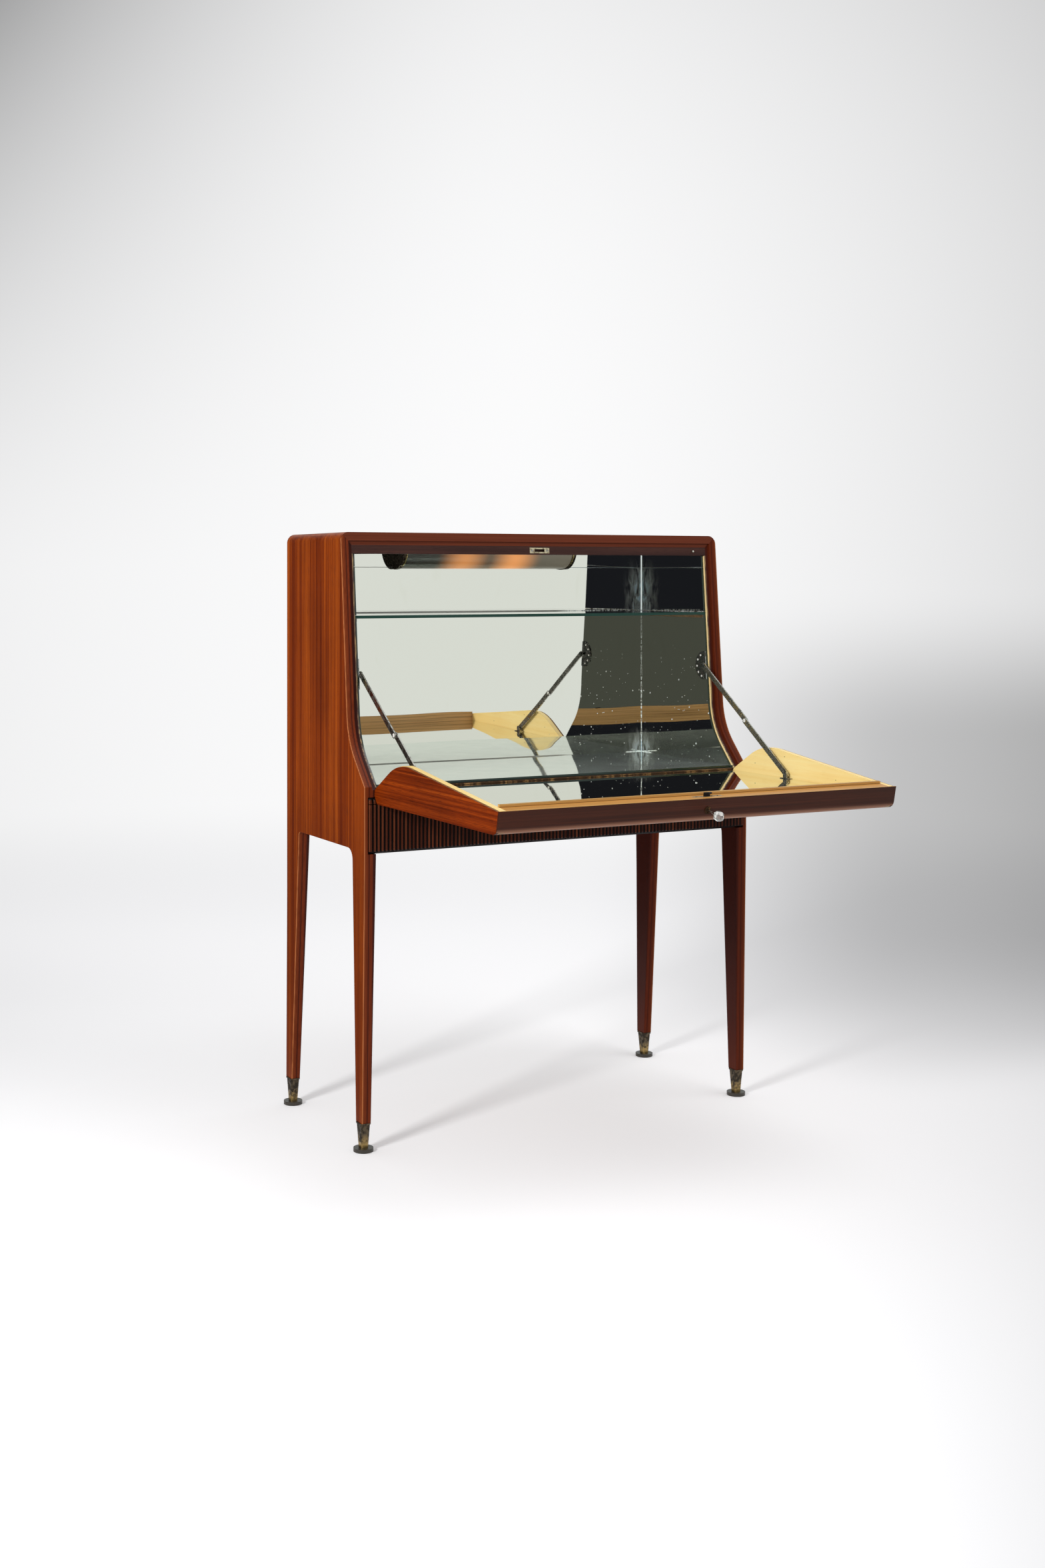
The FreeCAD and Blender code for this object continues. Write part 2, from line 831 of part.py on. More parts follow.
def stay_points():
    """Wall pivot, knuckle and flap pivot of a stay, let down and straight, in Y and Z."""
    edge_y = crossing(upper_edge(mirror_offset), level(stay_pivot_z)).x
    wall = flat(edge_y + stay_pivot_set, stay_pivot_z)
    foot = flat(hinge_y - stay_foot_reach, hinge_z + stay_foot_rise)
    knuckle = wall + (foot - wall).normalize() * stay_upper_length
    return wall, knuckle, foot


def stay_planes():
    """X of the faces of a right stay, from the mirror inwards."""
    plate = mirror_half - plate_thickness
    upper_out = plate - boss_height - stay_gap
    upper_in = upper_out - stay_thickness
    lower_out = upper_in - 2 * stay_gap
    lower_in = lower_out - stay_thickness
    ear_out = lower_in - stay_gap
    return plate, upper_out, upper_in, lower_out, lower_in, ear_out


def at(point, x):
    """A point in Y and Z set at one X."""
    return Vector(x, point.x, point.y)


def link(start, end, x0, x1):
    """A flat bar with round ends between two pivots."""
    radius = stay_width / 2
    along = (end - start).normalize() * radius
    aside = flat(-along.y, along.x)
    corners = [
        start - along + aside, end + along + aside,
        end + along - aside, start - along - aside,
    ]
    return across([(corner, radius) for corner in corners], x0, x1)


def stay_plate(wall, plate_x, upper_out, upper_in):
    """D-shaped wall plate with its headed pivot."""
    half = plate_height / 2
    front_y = wall.x - stay_pivot_set
    top = Vector(plate_x, front_y, wall.y + half)
    low = Vector(plate_x, front_y, wall.y - half)
    bulge = Vector(plate_x, front_y + plate_width, wall.y)
    edges = [Part.Arc(top, bulge, low).toShape(), Part.makeLine(low, top)]
    plate = Part.Face(Part.Wire(edges)).extrude(Vector(plate_thickness, 0, 0))
    plate.rotate(at(wall, 0), Vector(1, 0, 0), -frame_lean_deg)
    head_x = upper_in - stay_gap
    pivot = rod(rivet_radius, at(wall, head_x), at(wall, plate_x))
    head = rod(rivet_head_radius, at(wall, head_x - rivet_head), at(wall, head_x))
    return plate.fuse([pivot, head]).removeSplitter()


def stay_bracket(foot, lower_out, ear_out):
    """Angle bracket on the flap's mirror, with the headed pivot of the lower link."""
    radius = stay_width / 2
    ear_in = ear_out - stay_thickness
    base_z = hinge_z - flap_drop + flap_board_thickness + mirror_thickness
    half = bracket_length / 2
    base = box(
        ear_in - bracket_toe, cheek_half, foot.x - half, foot.x + half,
        base_z, base_z + bracket_plate,
    )
    ear = sharp(flat(foot.x - radius, base_z), flat(foot.x + radius, base_z))
    ear += [(flat(foot.x + radius, foot.y + radius), radius)]
    ear += [(flat(foot.x - radius, foot.y + radius), radius)]
    head_x = lower_out + stay_gap
    pivot = rod(rivet_radius, at(foot, ear_in), at(foot, head_x))
    head = rod(rivet_head_radius, at(foot, head_x), at(foot, head_x + rivet_head))
    return base.fuse([across(ear, ear_in, ear_out), pivot, head]).removeSplitter()


def stays():
    """Both folding stays, with their wall plates and flap brackets."""
    wall, knuckle, foot = stay_points()
    plate_x, upper_out, upper_in, lower_out, lower_in, ear_out = stay_planes()
    hole = rivet_radius + pin_clearance
    upper = link(wall, knuckle, upper_in, upper_out)
    upper = upper.cut(rod(hole, at(wall, upper_in - seam), at(wall, upper_out + seam)))
    lower = link(knuckle, foot, lower_in, lower_out)
    lower = lower.cut(rod(hole, at(foot, lower_in - seam), at(foot, lower_out + seam)))
    plate = stay_plate(wall, plate_x, upper_out, upper_in)
    bracket = stay_bracket(foot, lower_out, ear_out)
    return {
        "stay_plates": [plate, mirrored(plate)],
        "stay_upper_link_right": [upper],
        "stay_upper_link_left": [mirrored(upper)],
        "stay_lower_link_right": [lower],
        "stay_lower_link_left": [mirrored(lower)],
        "stay_brackets": [bracket, mirrored(bracket)],
    }


def bolt_start():
    """Where the bolt's stem begins in X, unlocked."""
    return lock_x + slot_length / 2 - bolt_stem - bolt_travel - bolt_gap


def lock_case_blank():
    """Case and face plate of the lock, set in the closed flap, without its openings."""
    half = lock_length / 2
    plate = box(lock_x - half, lock_x + half, -lock_plate, 0, -lock_width / 2, lock_width / 2)
    half = lock_case_length / 2
    deep = -lock_plate - lock_case_depth
    half_z = lock_case_width / 2
    case = box(lock_x - half, lock_x + half, deep, -lock_plate, -half_z, half_z)
    return leaned(plate.fuse(case).removeSplitter(), lock_point(flap_offset))


def key_y():
    """Y of the key's axis in the closed flap."""
    return flap_arris().x - keyhole_set


def key_bore(radius, low_z):
    """A round hole down into the closed flap's free end."""
    return rod(radius, Vector(0, key_y(), low_z), Vector(0, key_y(), flap_top_z + overrun))


def lock():
    """Lock case, hook bolt, key, knob and escutcheon in the flap."""
    start = bolt_start()
    half = bolt_thickness / 2
    room = box(
        start - bolt_gap, start + bolt_stem + bolt_travel + bolt_gap,
        -bolt_root - bolt_gap, overrun, -half - bolt_gap, half + bolt_gap,
    )
    centre = lock_point(flap_offset)
    tip_z = centre.y + lock_case_width / 2 - shank_bite
    case = lock_case_blank().cut(leaned(room, centre))
    case = case.cut(key_bore(shank_radius + pin_clearance, tip_z - seat_gap))
    stem = box(start, start + bolt_stem, -bolt_root, bolt_height, -half, half)
    nose_x = start + bolt_stem + bolt_nose
    nose = box(start, nose_x, bolt_height - bolt_nose_height, bolt_height, -half, half)
    bolt = leaned(stem.fuse(nose).removeSplitter(), centre)
    return {
        "lock_case": [let_down(case)],
        "lock_bolt": [let_down(bolt)],
        "escutcheon": [let_down(escutcheon())],
        "key": [let_down(key(tip_z))],
        "key_knob": [let_down(key_knob())],
    }


def escutcheon():
    """Keyhole plate on the flap's free end."""
    half_x = escutcheon_width / 2
    half_y = escutcheon_length / 2
    corners = [flat(-half_x, key_y() - half_y), flat(half_x, key_y() - half_y)]
    corners += [flat(half_x, key_y() + half_y), flat(-half_x, key_y() + half_y)]
    rounded = [(corner, half_x) for corner in corners]
    plate = upward(rounded, flap_top_z, flap_top_z + escutcheon_thickness)
    slot = box(
        -shank_radius, shank_radius, key_y() - keyhole_slot, key_y(),
        flap_top_z - overrun, flap_top_z + overrun,
    )
    return plate.cut(key_bore(keyhole_radius, flap_top_z - overrun)).cut(slot)


def key(tip_z):
    """Key shank through the escutcheon, upright in the closed flap."""
    return rod(shank_radius, Vector(0, key_y(), tip_z), Vector(0, key_y(), flap_top_z + shank_reach))


def key_knob():
    """A faceted ball: what three eight-sided bars along X, Y and Z have in common."""
    half = knob_size / 2
    cut = half * math.tan(math.pi / 8)
    ring = [(half, cut), (cut, half), (-cut, half), (-half, cut)]
    ring += [(-half, -cut), (-cut, -half), (cut, -half), (half, -cut)]
    corners = sharp(*[flat(first, second) for first, second in ring])
    knob = across(corners, -half, half)
    knob = knob.common(rearward(corners, -half, half)).common(upward(corners, -half, half))
    knob.translate(Vector(0, key_y(), flap_top_z + shank_reach + half))
    return knob


def strike():
    """Strike plate let into the head rail, upright at the origin."""
    half = strike_length / 2
    half_z = strike_width / 2
    plate = box(lock_x - half, lock_x + half, 0, strike_thickness, -half_z, half_z)
    half = slot_length / 2
    half_z = slot_width / 2
    slot = box(lock_x - half, lock_x + half, -overrun, overrun, -half_z, half_z)
    return plate, plate.cut(slot)


def head_rail():
    """The rail under the top, with room for the strike, the bolt and the switch."""
    place = lock_point(frame_rebate)
    seat, _ = strike()
    pocket = box(
        lock_x - slot_length / 2, lock_x + slot_length / 2 + bolt_nose + bolt_gap,
        -overrun, pocket_depth, -slot_width / 2, slot_width / 2,
    )
    rail = head_rail_blank().cut(leaned(seat, place)).cut(leaned(pocket, place))
    depth_in = plunger_root + plunger_travel + plunger_room
    bore = rod(
        plunger_radius + plunger_clearance,
        Vector(plunger_x, -overrun, 0), Vector(plunger_x, depth_in, 0),
    )
    return rail.cut(leaned(bore, place))


def rail_fittings():
    """Strike plate and switch plunger in the head rail."""
    place = lock_point(frame_rebate)
    _, plate = strike()
    plunger = rod(
        plunger_radius,
        Vector(plunger_x, -plunger_reach, 0), Vector(plunger_x, plunger_root, 0),
    )
    return {
        "strike_plate": [leaned(plate, place)],
        "switch_plunger": [leaned(plunger, place)],
    }


def quarter(reach, drop, x0, x1):
    """A quarter round in the corner of the back mirror and the ceiling mirror."""
    diagonal = math.sqrt(2) / 2
    corner = Vector(x0, mirror_front_y, ceiling_z)
    front = corner - Vector(0, reach, 0)
    foot = corner - Vector(0, 0, drop)
    bulge = corner - Vector(0, reach * diagonal, drop * diagonal)
    edges = [
        Part.makeLine(corner, front),
        Part.Arc(front, bulge, foot).toShape(),
        Part.makeLine(foot, corner),
    ]
    return Part.Face(Part.Wire(edges)).extrude(Vector(x1 - x0, 0, 0))


def lamp():
    """Corner lamp: back plates, shade, two end caps, two holders and two bulbs."""
    left_x = lamp_x - lamp_length / 2
    right_x = lamp_x + lamp_length / 2
    inner = (left_x + lamp_cap, right_x - lamp_cap)
    reach = lamp_depth - lamp_wall
    drop = lamp_height - lamp_wall
    shade = quarter(lamp_depth, lamp_height, *inner).cut(quarter(reach, drop, *inner))
    housing = quarter(reach, drop, *inner).cut(box(
        -far, far, -far, mirror_front_y - lamp_back, 0, ceiling_z - lamp_back,
    ))
    cap_reach = (lamp_depth + lamp_cap_proud, lamp_height + lamp_cap_proud)
    caps = [quarter(*cap_reach, left_x, inner[0]), quarter(*cap_reach, inner[1], right_x)]
    bulb_y = mirror_front_y - lamp_depth * bulb_place_shares[0]
    bulb_z = ceiling_z - lamp_height * bulb_place_shares[1]
    holders = []
    bulbs = []
    for side in (-1, 1):
        middle_x = lamp_x + side * bulb_spread / 2
        seat = Vector(middle_x + side * bulb_length / 2, bulb_y, bulb_z)
        stop = seat + Vector(side * holder_length, 0, 0)
        foot = box(
            seat.x, stop.x, bulb_y - holder_foot / 2, bulb_y + holder_foot / 2,
            bulb_z, ceiling_z - lamp_back,
        )
        holders.append(rod(holder_radius, seat, stop).fuse(foot).removeSplitter())
        bulbs.append(rod(bulb_radius, seat, seat - Vector(side * bulb_length, 0, 0)))
    return {
        "lamp_housing": [housing],
        "lamp_shade": [shade],
        "lamp_end_caps": caps,
        "lamp_holders": holders,
        "lamp_bulbs": bulbs,
    }


def assembly():
    """Every node of the cabinet with its solids, Y measured from the rear of the sides."""
    pieces = {}
    groups = (
        carcass, sabots_and_discs, linings, mirrors, shelf, lamp, drawers,
        flap, hinge, stays, lock, rail_fittings,
    )
    for group in groups:
        pieces.update(group())
    return pieces


def middle_y(pieces):
    """Y of the middle of the whole cabinet, flap down."""
    boxes = [solid.optimalBoundingBox(False, False) for solids in pieces.values() for solid in solids]
    return (min(b.YMin for b in boxes) + max(b.YMax for b in boxes)) / 2


def export(name, solids, shift):
    """Write one node, moved so that the origin is at the bottom centre."""
    shape = solids[0] if len(solids) == 1 else Part.makeCompound(solids)
    shape = shape.copy()
    shape.translate(shift)
    shape.exportStep("parts/" + name + ".step")


nodes = assembly()
origin_y = middle_y(nodes)
for node, node_solids in nodes.items():
    export(node, node_solids, Vector(0, -origin_y, 0))
print(len(nodes), "nodes, middle at", round(origin_y, 3))
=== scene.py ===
"""Looks of a drop-front bar cabinet with a mirrored inside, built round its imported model.

Lengths are in metres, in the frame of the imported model: X to the right, -Y out of the
front and Z up, with the floor at zero. The flap is let down at rest.
"""

from __future__ import annotations

import json
import logging
import math
from collections.abc import Iterable, Sequence
from dataclasses import dataclass, replace
from enum import Enum

import bmesh
import bpy
from mathutils import Matrix, Vector

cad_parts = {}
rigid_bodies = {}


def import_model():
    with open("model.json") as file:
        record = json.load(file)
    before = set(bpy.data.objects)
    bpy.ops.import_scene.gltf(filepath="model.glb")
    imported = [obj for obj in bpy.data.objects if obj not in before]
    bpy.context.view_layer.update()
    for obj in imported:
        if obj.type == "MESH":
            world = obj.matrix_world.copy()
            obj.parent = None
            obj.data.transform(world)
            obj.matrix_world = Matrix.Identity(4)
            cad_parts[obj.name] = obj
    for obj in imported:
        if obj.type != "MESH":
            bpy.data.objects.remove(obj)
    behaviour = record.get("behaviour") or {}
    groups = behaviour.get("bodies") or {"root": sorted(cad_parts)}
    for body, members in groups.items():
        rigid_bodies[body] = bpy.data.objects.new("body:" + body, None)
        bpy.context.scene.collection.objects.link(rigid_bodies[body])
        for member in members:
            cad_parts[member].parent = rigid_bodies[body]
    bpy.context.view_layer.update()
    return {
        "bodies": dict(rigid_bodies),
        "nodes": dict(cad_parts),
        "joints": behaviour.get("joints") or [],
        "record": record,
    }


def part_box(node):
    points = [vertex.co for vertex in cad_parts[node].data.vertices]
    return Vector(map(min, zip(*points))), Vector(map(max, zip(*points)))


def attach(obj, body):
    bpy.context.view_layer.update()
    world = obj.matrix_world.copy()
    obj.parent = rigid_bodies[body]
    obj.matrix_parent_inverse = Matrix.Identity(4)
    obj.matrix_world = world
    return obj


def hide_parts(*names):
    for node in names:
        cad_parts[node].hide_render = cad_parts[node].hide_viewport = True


LOG = logging.getLogger("bar_cabinet")
MM = 0.001
SHARP_ANGLE = math.radians(32)
CASE_LEAN = math.radians(4.8)
KEY_TILT = math.radians(11.8)
BULB_LENGTH = 62 * MM
MIRROR_JOINT_Z = 1.1312

Colour = tuple[float, float, float]
Stops = Sequence[tuple[float, Colour]]


class Grain(Enum):
    """The axis that a board's grain runs along."""

    ACROSS = 0
    DEEP = 1
    UPRIGHT = 2


class Outside(Enum):
    """Which faces of a board carry its show veneer, where the rest is plainer."""

    ALL = "all"
    SIDES = "sides"
    TOP = "top"
    FRONT = "front"
    BEHIND = "behind"
    UNDER = "under"
    INNER = "inner"


class Value:
    """One output of a shader node, on which Python's operators add Math nodes."""

    def __init__(self, sheet: Sheet, socket: bpy.types.NodeSocket) -> None:
        """Keep the socket and the sheet that its node stands on."""
        self.sheet = sheet
        self.socket = socket

    def maths(self, operation: str, *others: Value | float) -> Value:
        """Add one Math node.

        Args:
            operation: The node's operation.
            others: Its second and third values.

        Returns:
            The node's output.
        """
        inputs = dict(enumerate((self, *others)))
        return self.sheet.add("ShaderNodeMath", {"operation": operation}, inputs)

    def __add__(self, other: Value | float) -> Value:
        """Add a value."""
        return self.maths("ADD", other)

    def __radd__(self, other: float) -> Value:
        """Add to a number."""
        return self.maths("ADD", other)

    def __sub__(self, other: Value | float) -> Value:
        """Take a value away."""
        return self.maths("SUBTRACT", other)

    def __rsub__(self, other: float) -> Value:
        """Take this from a number."""
        return (self * -1.0).maths("ADD", other)

    def __mul__(self, other: Value | float) -> Value:
        """Multiply by a value."""
        return self.maths("MULTIPLY", other)

    def __rmul__(self, other: float) -> Value:
        """Multiply a number."""
        return self.maths("MULTIPLY", other)

    def __truediv__(self, other: Value | float) -> Value:
        """Divide by a value."""
        return self.maths("DIVIDE", other)

    def __or__(self, other: Value | float) -> Value:
        """The larger of two values."""
        return self.maths("MAXIMUM", other)

    def __and__(self, other: Value | float) -> Value:
        """The smaller of two values."""
        return self.maths("MINIMUM", other)

    def __abs__(self) -> Value:
        """Size without its sign."""
        return self.maths("ABSOLUTE")

    def __pow__(self, other: float) -> Value:
        """Raise to a power."""
        return self.maths("POWER", other)

    def smooth(self, low: float, high: float) -> Value:
        """Rise smoothly from 0 at low to 1 at high, or fall where low is above high.

        Args:
            low: Where the result is 0.
            high: Where the result is 1.

        Returns:
            The smoothed value.
        """
        start, end = sorted((low, high))
        ends = (0.0, 1.0) if low < high else (1.0, 0.0)
        inputs = {"Value": self, "From Min": start, "From Max": end}
        inputs |= {"To Min": ends[0], "To Max": ends[1]}
        settings = {"interpolation_type": "SMOOTHSTEP"}
        return self.sheet.add("ShaderNodeMapRange", settings, inputs)


class Sheet:
    """A node tree, to which every node is added in the same way."""

    def __init__(self, tree: bpy.types.NodeTree) -> None:
        """Start with an empty tree."""
        self.tree = tree
        tree.nodes.clear()

    def add(
        self,
        kind: str,
        settings: dict | None = None,
        inputs: dict | None = None,
        output: str | int = 0,
    ) -> Value | None:
        """Add one node.

        Args:
            kind: The node's type.
            settings: Its own properties, or the stops of its ramp.
            inputs: Values or links by socket name or number.
            output: The wanted output.

        Returns:
            The wanted output, or nothing from a node that has none.
        """
        node = self.tree.nodes.new(kind)
        for name, setting in (settings or {}).items():
            if name == "stops":
                self.set_stops(node.color_ramp, setting)
            else:
                setattr(node, name, setting)
        for name, value in (inputs or {}).items():
            self.feed(self.socket_of(node.inputs, name), value)
        if not node.outputs:
            return None
        return Value(self, self.socket_of(node.outputs, output))

    @staticmethod
    def socket_of(sockets: Iterable, name: str | int) -> bpy.types.NodeSocket:
        """Find a socket by its number, or by its name among those in use."""
        if isinstance(name, int):
            return sockets[name]
        return next(s for s in sockets if s.enabled and s.name == name)

    @staticmethod
    def set_stops(ramp: bpy.types.ColorRamp, stops: Stops) -> None:
        """Set the colours of a ramp."""
        while len(ramp.elements) < len(stops):
            ramp.elements.new(1.0)
        for element, (position, colour) in zip(ramp.elements, stops):
            element.position = position
            element.color = (*colour, 1.0)

    def feed(self, socket: bpy.types.NodeSocket, value: object) -> None:
        """Link a value to a socket, or set the socket's own number or colour."""
        if isinstance(value, Value):
            self.tree.links.new(value.socket, socket)
        elif socket.type == "RGBA":
            socket.default_value = (*value, 1.0)
        else:
            socket.default_value = value

    def place(self) -> Value:
        """The point on the piece, in the frame of the model."""
        return self.add("ShaderNodeTexCoord", output="Object")

    def parts(self, vector: Value) -> tuple[Value, Value, Value]:
        """The three numbers of a vector."""
        split = self.add("ShaderNodeSeparateXYZ", inputs={0: vector})
        outputs = split.socket.node.outputs
        return tuple(Value(self, socket) for socket in outputs)

    def stretched(self, scale: Sequence[float], shift: Sequence[float] = (0, 0, 0)) -> Value:
        """The point on the piece, moved and scaled along each axis."""
        inputs = {"Vector": self.place(), "Scale": scale, "Location": shift}
        return self.add("ShaderNodeMapping", inputs=inputs)

    def number(self, amount: float) -> Value:
        """A plain number, to build on."""
        made = self.add("ShaderNodeValue")
        made.socket.default_value = amount
        return made

    def noise(self, vector: Value, detail: float = 2.0, warp: float = 0.0) -> Value:
        """Soft random values from 0 to 1.

        Args:
            vector: Where the pattern is read.
            detail: How many finer layers it has.
            warp: How far it is distorted.

        Returns:
            The pattern.
        """
        inputs = {"Vector": vector, "Scale": 1.0, "Detail": detail, "Distortion": warp}
        return self.add("ShaderNodeTexNoise", inputs=inputs)

    def dots(self, size: float, radius: float, share: float, seed: float = 0.0) -> Value:
        """Small round dots, 1 inside and 0 outside.

        Args:
            size: How far apart they lie in metres.
            radius: Their radius in metres.
            share: Which part of the places has one.
            seed: Moves the pattern.

        Returns:
            The dots.
        """
        soft = 0.02
        inputs = {"Vector": self.stretched((1, 1, 1), (seed,) * 3), "Scale": 1 / size}
        far = self.add("ShaderNodeTexVoronoi", inputs=inputs)
        chance = Value(self, far.socket.node.outputs["Color"])
        picked, swell, _ = self.parts(chance)
        edge = (swell * 0.8 + 0.3) * (radius / size)
        return (edge - far).smooth(0.0, soft) * picked.smooth(share, share - soft)

    def mix(self, factor: Value | float, first: object, second: object) -> Value:
        """A colour between two others."""
        inputs = {"Factor": factor, "A": first, "B": second}
        return self.add("ShaderNodeMix", {"data_type": "RGBA"}, inputs, "Result")

    def ramp(self, factor: Value, stops: Stops) -> Value:
        """A colour read from a ramp."""
        return self.add("ShaderNodeValToRGB", {"stops": stops}, {"Fac": factor})

    def bump(self, height: Value, distance: float, normal: Value | None = None) -> Value:
        """A normal roughened by a height, for a relief of that depth in metres."""
        inputs = {"Height": height, "Distance": distance, "Strength": 1.0}
        if normal is not None:
            inputs["Normal"] = normal
        return self.add("ShaderNodeBump", inputs=inputs)

    def eased(self, radius: float) -> Value:
        """A normal that rounds the arrises to a radius."""
        settings = {"samples": 4}
        return self.add("ShaderNodeBevel", settings, {"Radius": radius})

    def surface(self, **values: object) -> None:
        """End the sheet in one Principled surface.

        Args:
            values: Socket values, with underscores for the spaces in their names.
        """
        inputs = {name.replace("_", " "): value for name, value in values.items()}
        shader = self.add("ShaderNodeBsdfPrincipled", inputs=inputs)
        self.add("ShaderNodeOutputMaterial", inputs={"Surface": shader})


@dataclass(frozen=True)
class Finish:
    """What every finish has: a name, and a sheet that it draws once."""

    name: str

    def draw(self, sheet: Sheet) -> None:
        """Draw the nodes of the finish."""
        raise NotImplementedError

    def material(self) -> bpy.types.Material:
        """The material of this finish, made on its first use."""
        look = f"{self.name}_look"
        found = bpy.data.materials.get(look)
        if found:
            return found
        made = bpy.data.materials.new(look)
        made.use_nodes = True
        self.draw(Sheet(made.node_tree))
        return made


@dataclass(frozen=True)
class Veneer(Finish):
    """Polished straight-grained wood, with its own tones on the faces that are not shown.

    The front edges of the side panels have bands across their thickness, with a painted
    highlight on the outer arris. Reeds have painted shade behind their crests, a lip has its
    own tone above its height, and faces that look down can take a painted sheen.
    """

    stops: Stops
    pore: Colour
    grain: Grain
    outside: Outside = Outside.ALL
    edge: Colour = (0.05, 0.018, 0.012)
    top_edge: Colour | None = None
    # under: paler colour for faces that look down, a painted sheen of the reflected floor.
    under: Colour | None = None
    low_shade: float = 0.0
    right_shade: float = 0.0
    crest_y: float | None = None
    lip_z: float | None = None
    bands: Stops = ()
    bands_from: float = 0.424
    bands_width: float = 0.026
    streak: float = 1.0
    pore_depth: float = 0.55
    gloss: float = 0.36
    shine: float = 0.5
    seed: float = 0.0

    def scales(self, across: float, along: float) -> tuple[float, float, float]:
        """Scale of a pattern, stretched along the grain."""
        scale = [across * self.streak] * 3
        scale[self.grain.value] = along
        return tuple(scale)

    def show_mask(self, sheet: Sheet, normal: tuple[Value, Value, Value]) -> Value | None:
        """1 on the show faces and 0 on the rest, or nothing where all are alike."""
        x, y, z = normal
        if self.outside is Outside.TOP:
            return (z + abs(x) * 0.8).smooth(0.3, 0.6)
        if self.outside is Outside.FRONT:
            return (z | y).smooth(0.6, 0.3)
        if self.outside is Outside.BEHIND:
            return y.smooth(-0.6, -0.4)
        if self.outside is Outside.UNDER:
            return z.smooth(-0.3, -0.7)
        if self.outside is Outside.INNER:
            return abs(x).smooth(0.35, 0.7) | z.smooth(0.2, 0.45)
        place_x, _, _ = sheet.parts(sheet.place())
        return (x * place_x.maths("SIGN")).smooth(0.35, 0.7)

    def edge_tone(self, sheet: Sheet, lines: Value, normal: tuple[Value, Value, Value]) -> Value:
        """The tone of the faces that are not shown."""
        tone = self.edge
        if self.bands:
            place_x, _, _ = sheet.parts(sheet.place())
            across = (abs(place_x) - self.bands_from) / self.bands_width
            tone = sheet.ramp(across, self.bands)
        if self.top_edge:
            tone = sheet.mix(normal[2].smooth(0.3, 0.6), tone, self.top_edge)
        if self.right_shade:
            place_x, _, _ = sheet.parts(sheet.place())
            tone = sheet.mix(place_x.smooth(-0.1, 0.3) * self.right_shade, tone, self.pore)
        return sheet.mix(lines.smooth(0.4, 0.7) * 0.45, tone, self.pore)

    def draw(self, sheet: Sheet) -> None:
        """Ribbons, streaks and open pores under a satin lacquer."""
        shift = (self.seed, self.seed * 0.7, self.seed * 1.3)
        bands = sheet.noise(sheet.stretched(self.scales(58, 0.4), shift), detail=2)
        streaks = sheet.noise(
            sheet.stretched(self.scales(230, 1.4), shift), detail=3, warp=0.2
        )
        lines = sheet.noise(sheet.stretched(self.scales(640, 3.6), shift), detail=2)
        pores = sheet.noise(sheet.stretched(self.scales(1300, 36), shift), detail=2)
        cloud = sheet.noise(sheet.stretched(self.scales(6, 3.4), shift), detail=3)
        tone = bands * 0.34 + streaks * 0.38 + lines * 0.28
        colour = sheet.ramp(tone, self.stops)
        open_pores = pores.smooth(0.56, 0.7)
        colour = sheet.mix(open_pores * self.pore_depth, colour, self.pore)
        shown = sheet.mix(cloud.smooth(0.45, 0.8) * 0.4, colour, self.pore)
        _, front, rise = sheet.parts(sheet.place())
        if self.low_shade:
            shown = sheet.mix(rise.smooth(0.72, 0.5) * self.low_shade, shown, self.pore)
        # Behind the crest line the reeds take the pore colour: painted shade in the grooves.
        if self.crest_y is not None:
            sunk = (front - self.crest_y).smooth(0.0005, 0.0019)
            shown = sheet.mix(sunk, shown, self.pore)
        if self.outside is not Outside.ALL:
            normal = sheet.parts(sheet.add("ShaderNodeTexCoord", output="Normal"))
            # Faces that look down take the under colour: a painted sheen of the reflected floor.
            if self.under:
                shown = sheet.mix(normal[2].smooth(-0.3, -0.8), shown, self.under)
            if self.lip_z is not None:
                above = rise.smooth(self.lip_z, self.lip_z + 0.0006)
                shown = sheet.mix(above, shown, self.top_edge)
            edge = self.edge_tone(sheet, lines, normal)
            shown = sheet.mix(self.show_mask(sheet, normal), edge, shown)
        relief = open_pores * -0.6 + streaks * 0.4
        rough = self.gloss + lines * 0.1 + open_pores * 0.12
        sheet.surface(
            Base_Color=shown, Roughness=rough, IOR=1.5, Specular_IOR_Level=self.shine,
            Normal=sheet.bump(relief, 0.00006, sheet.eased(0.0009)),
        )


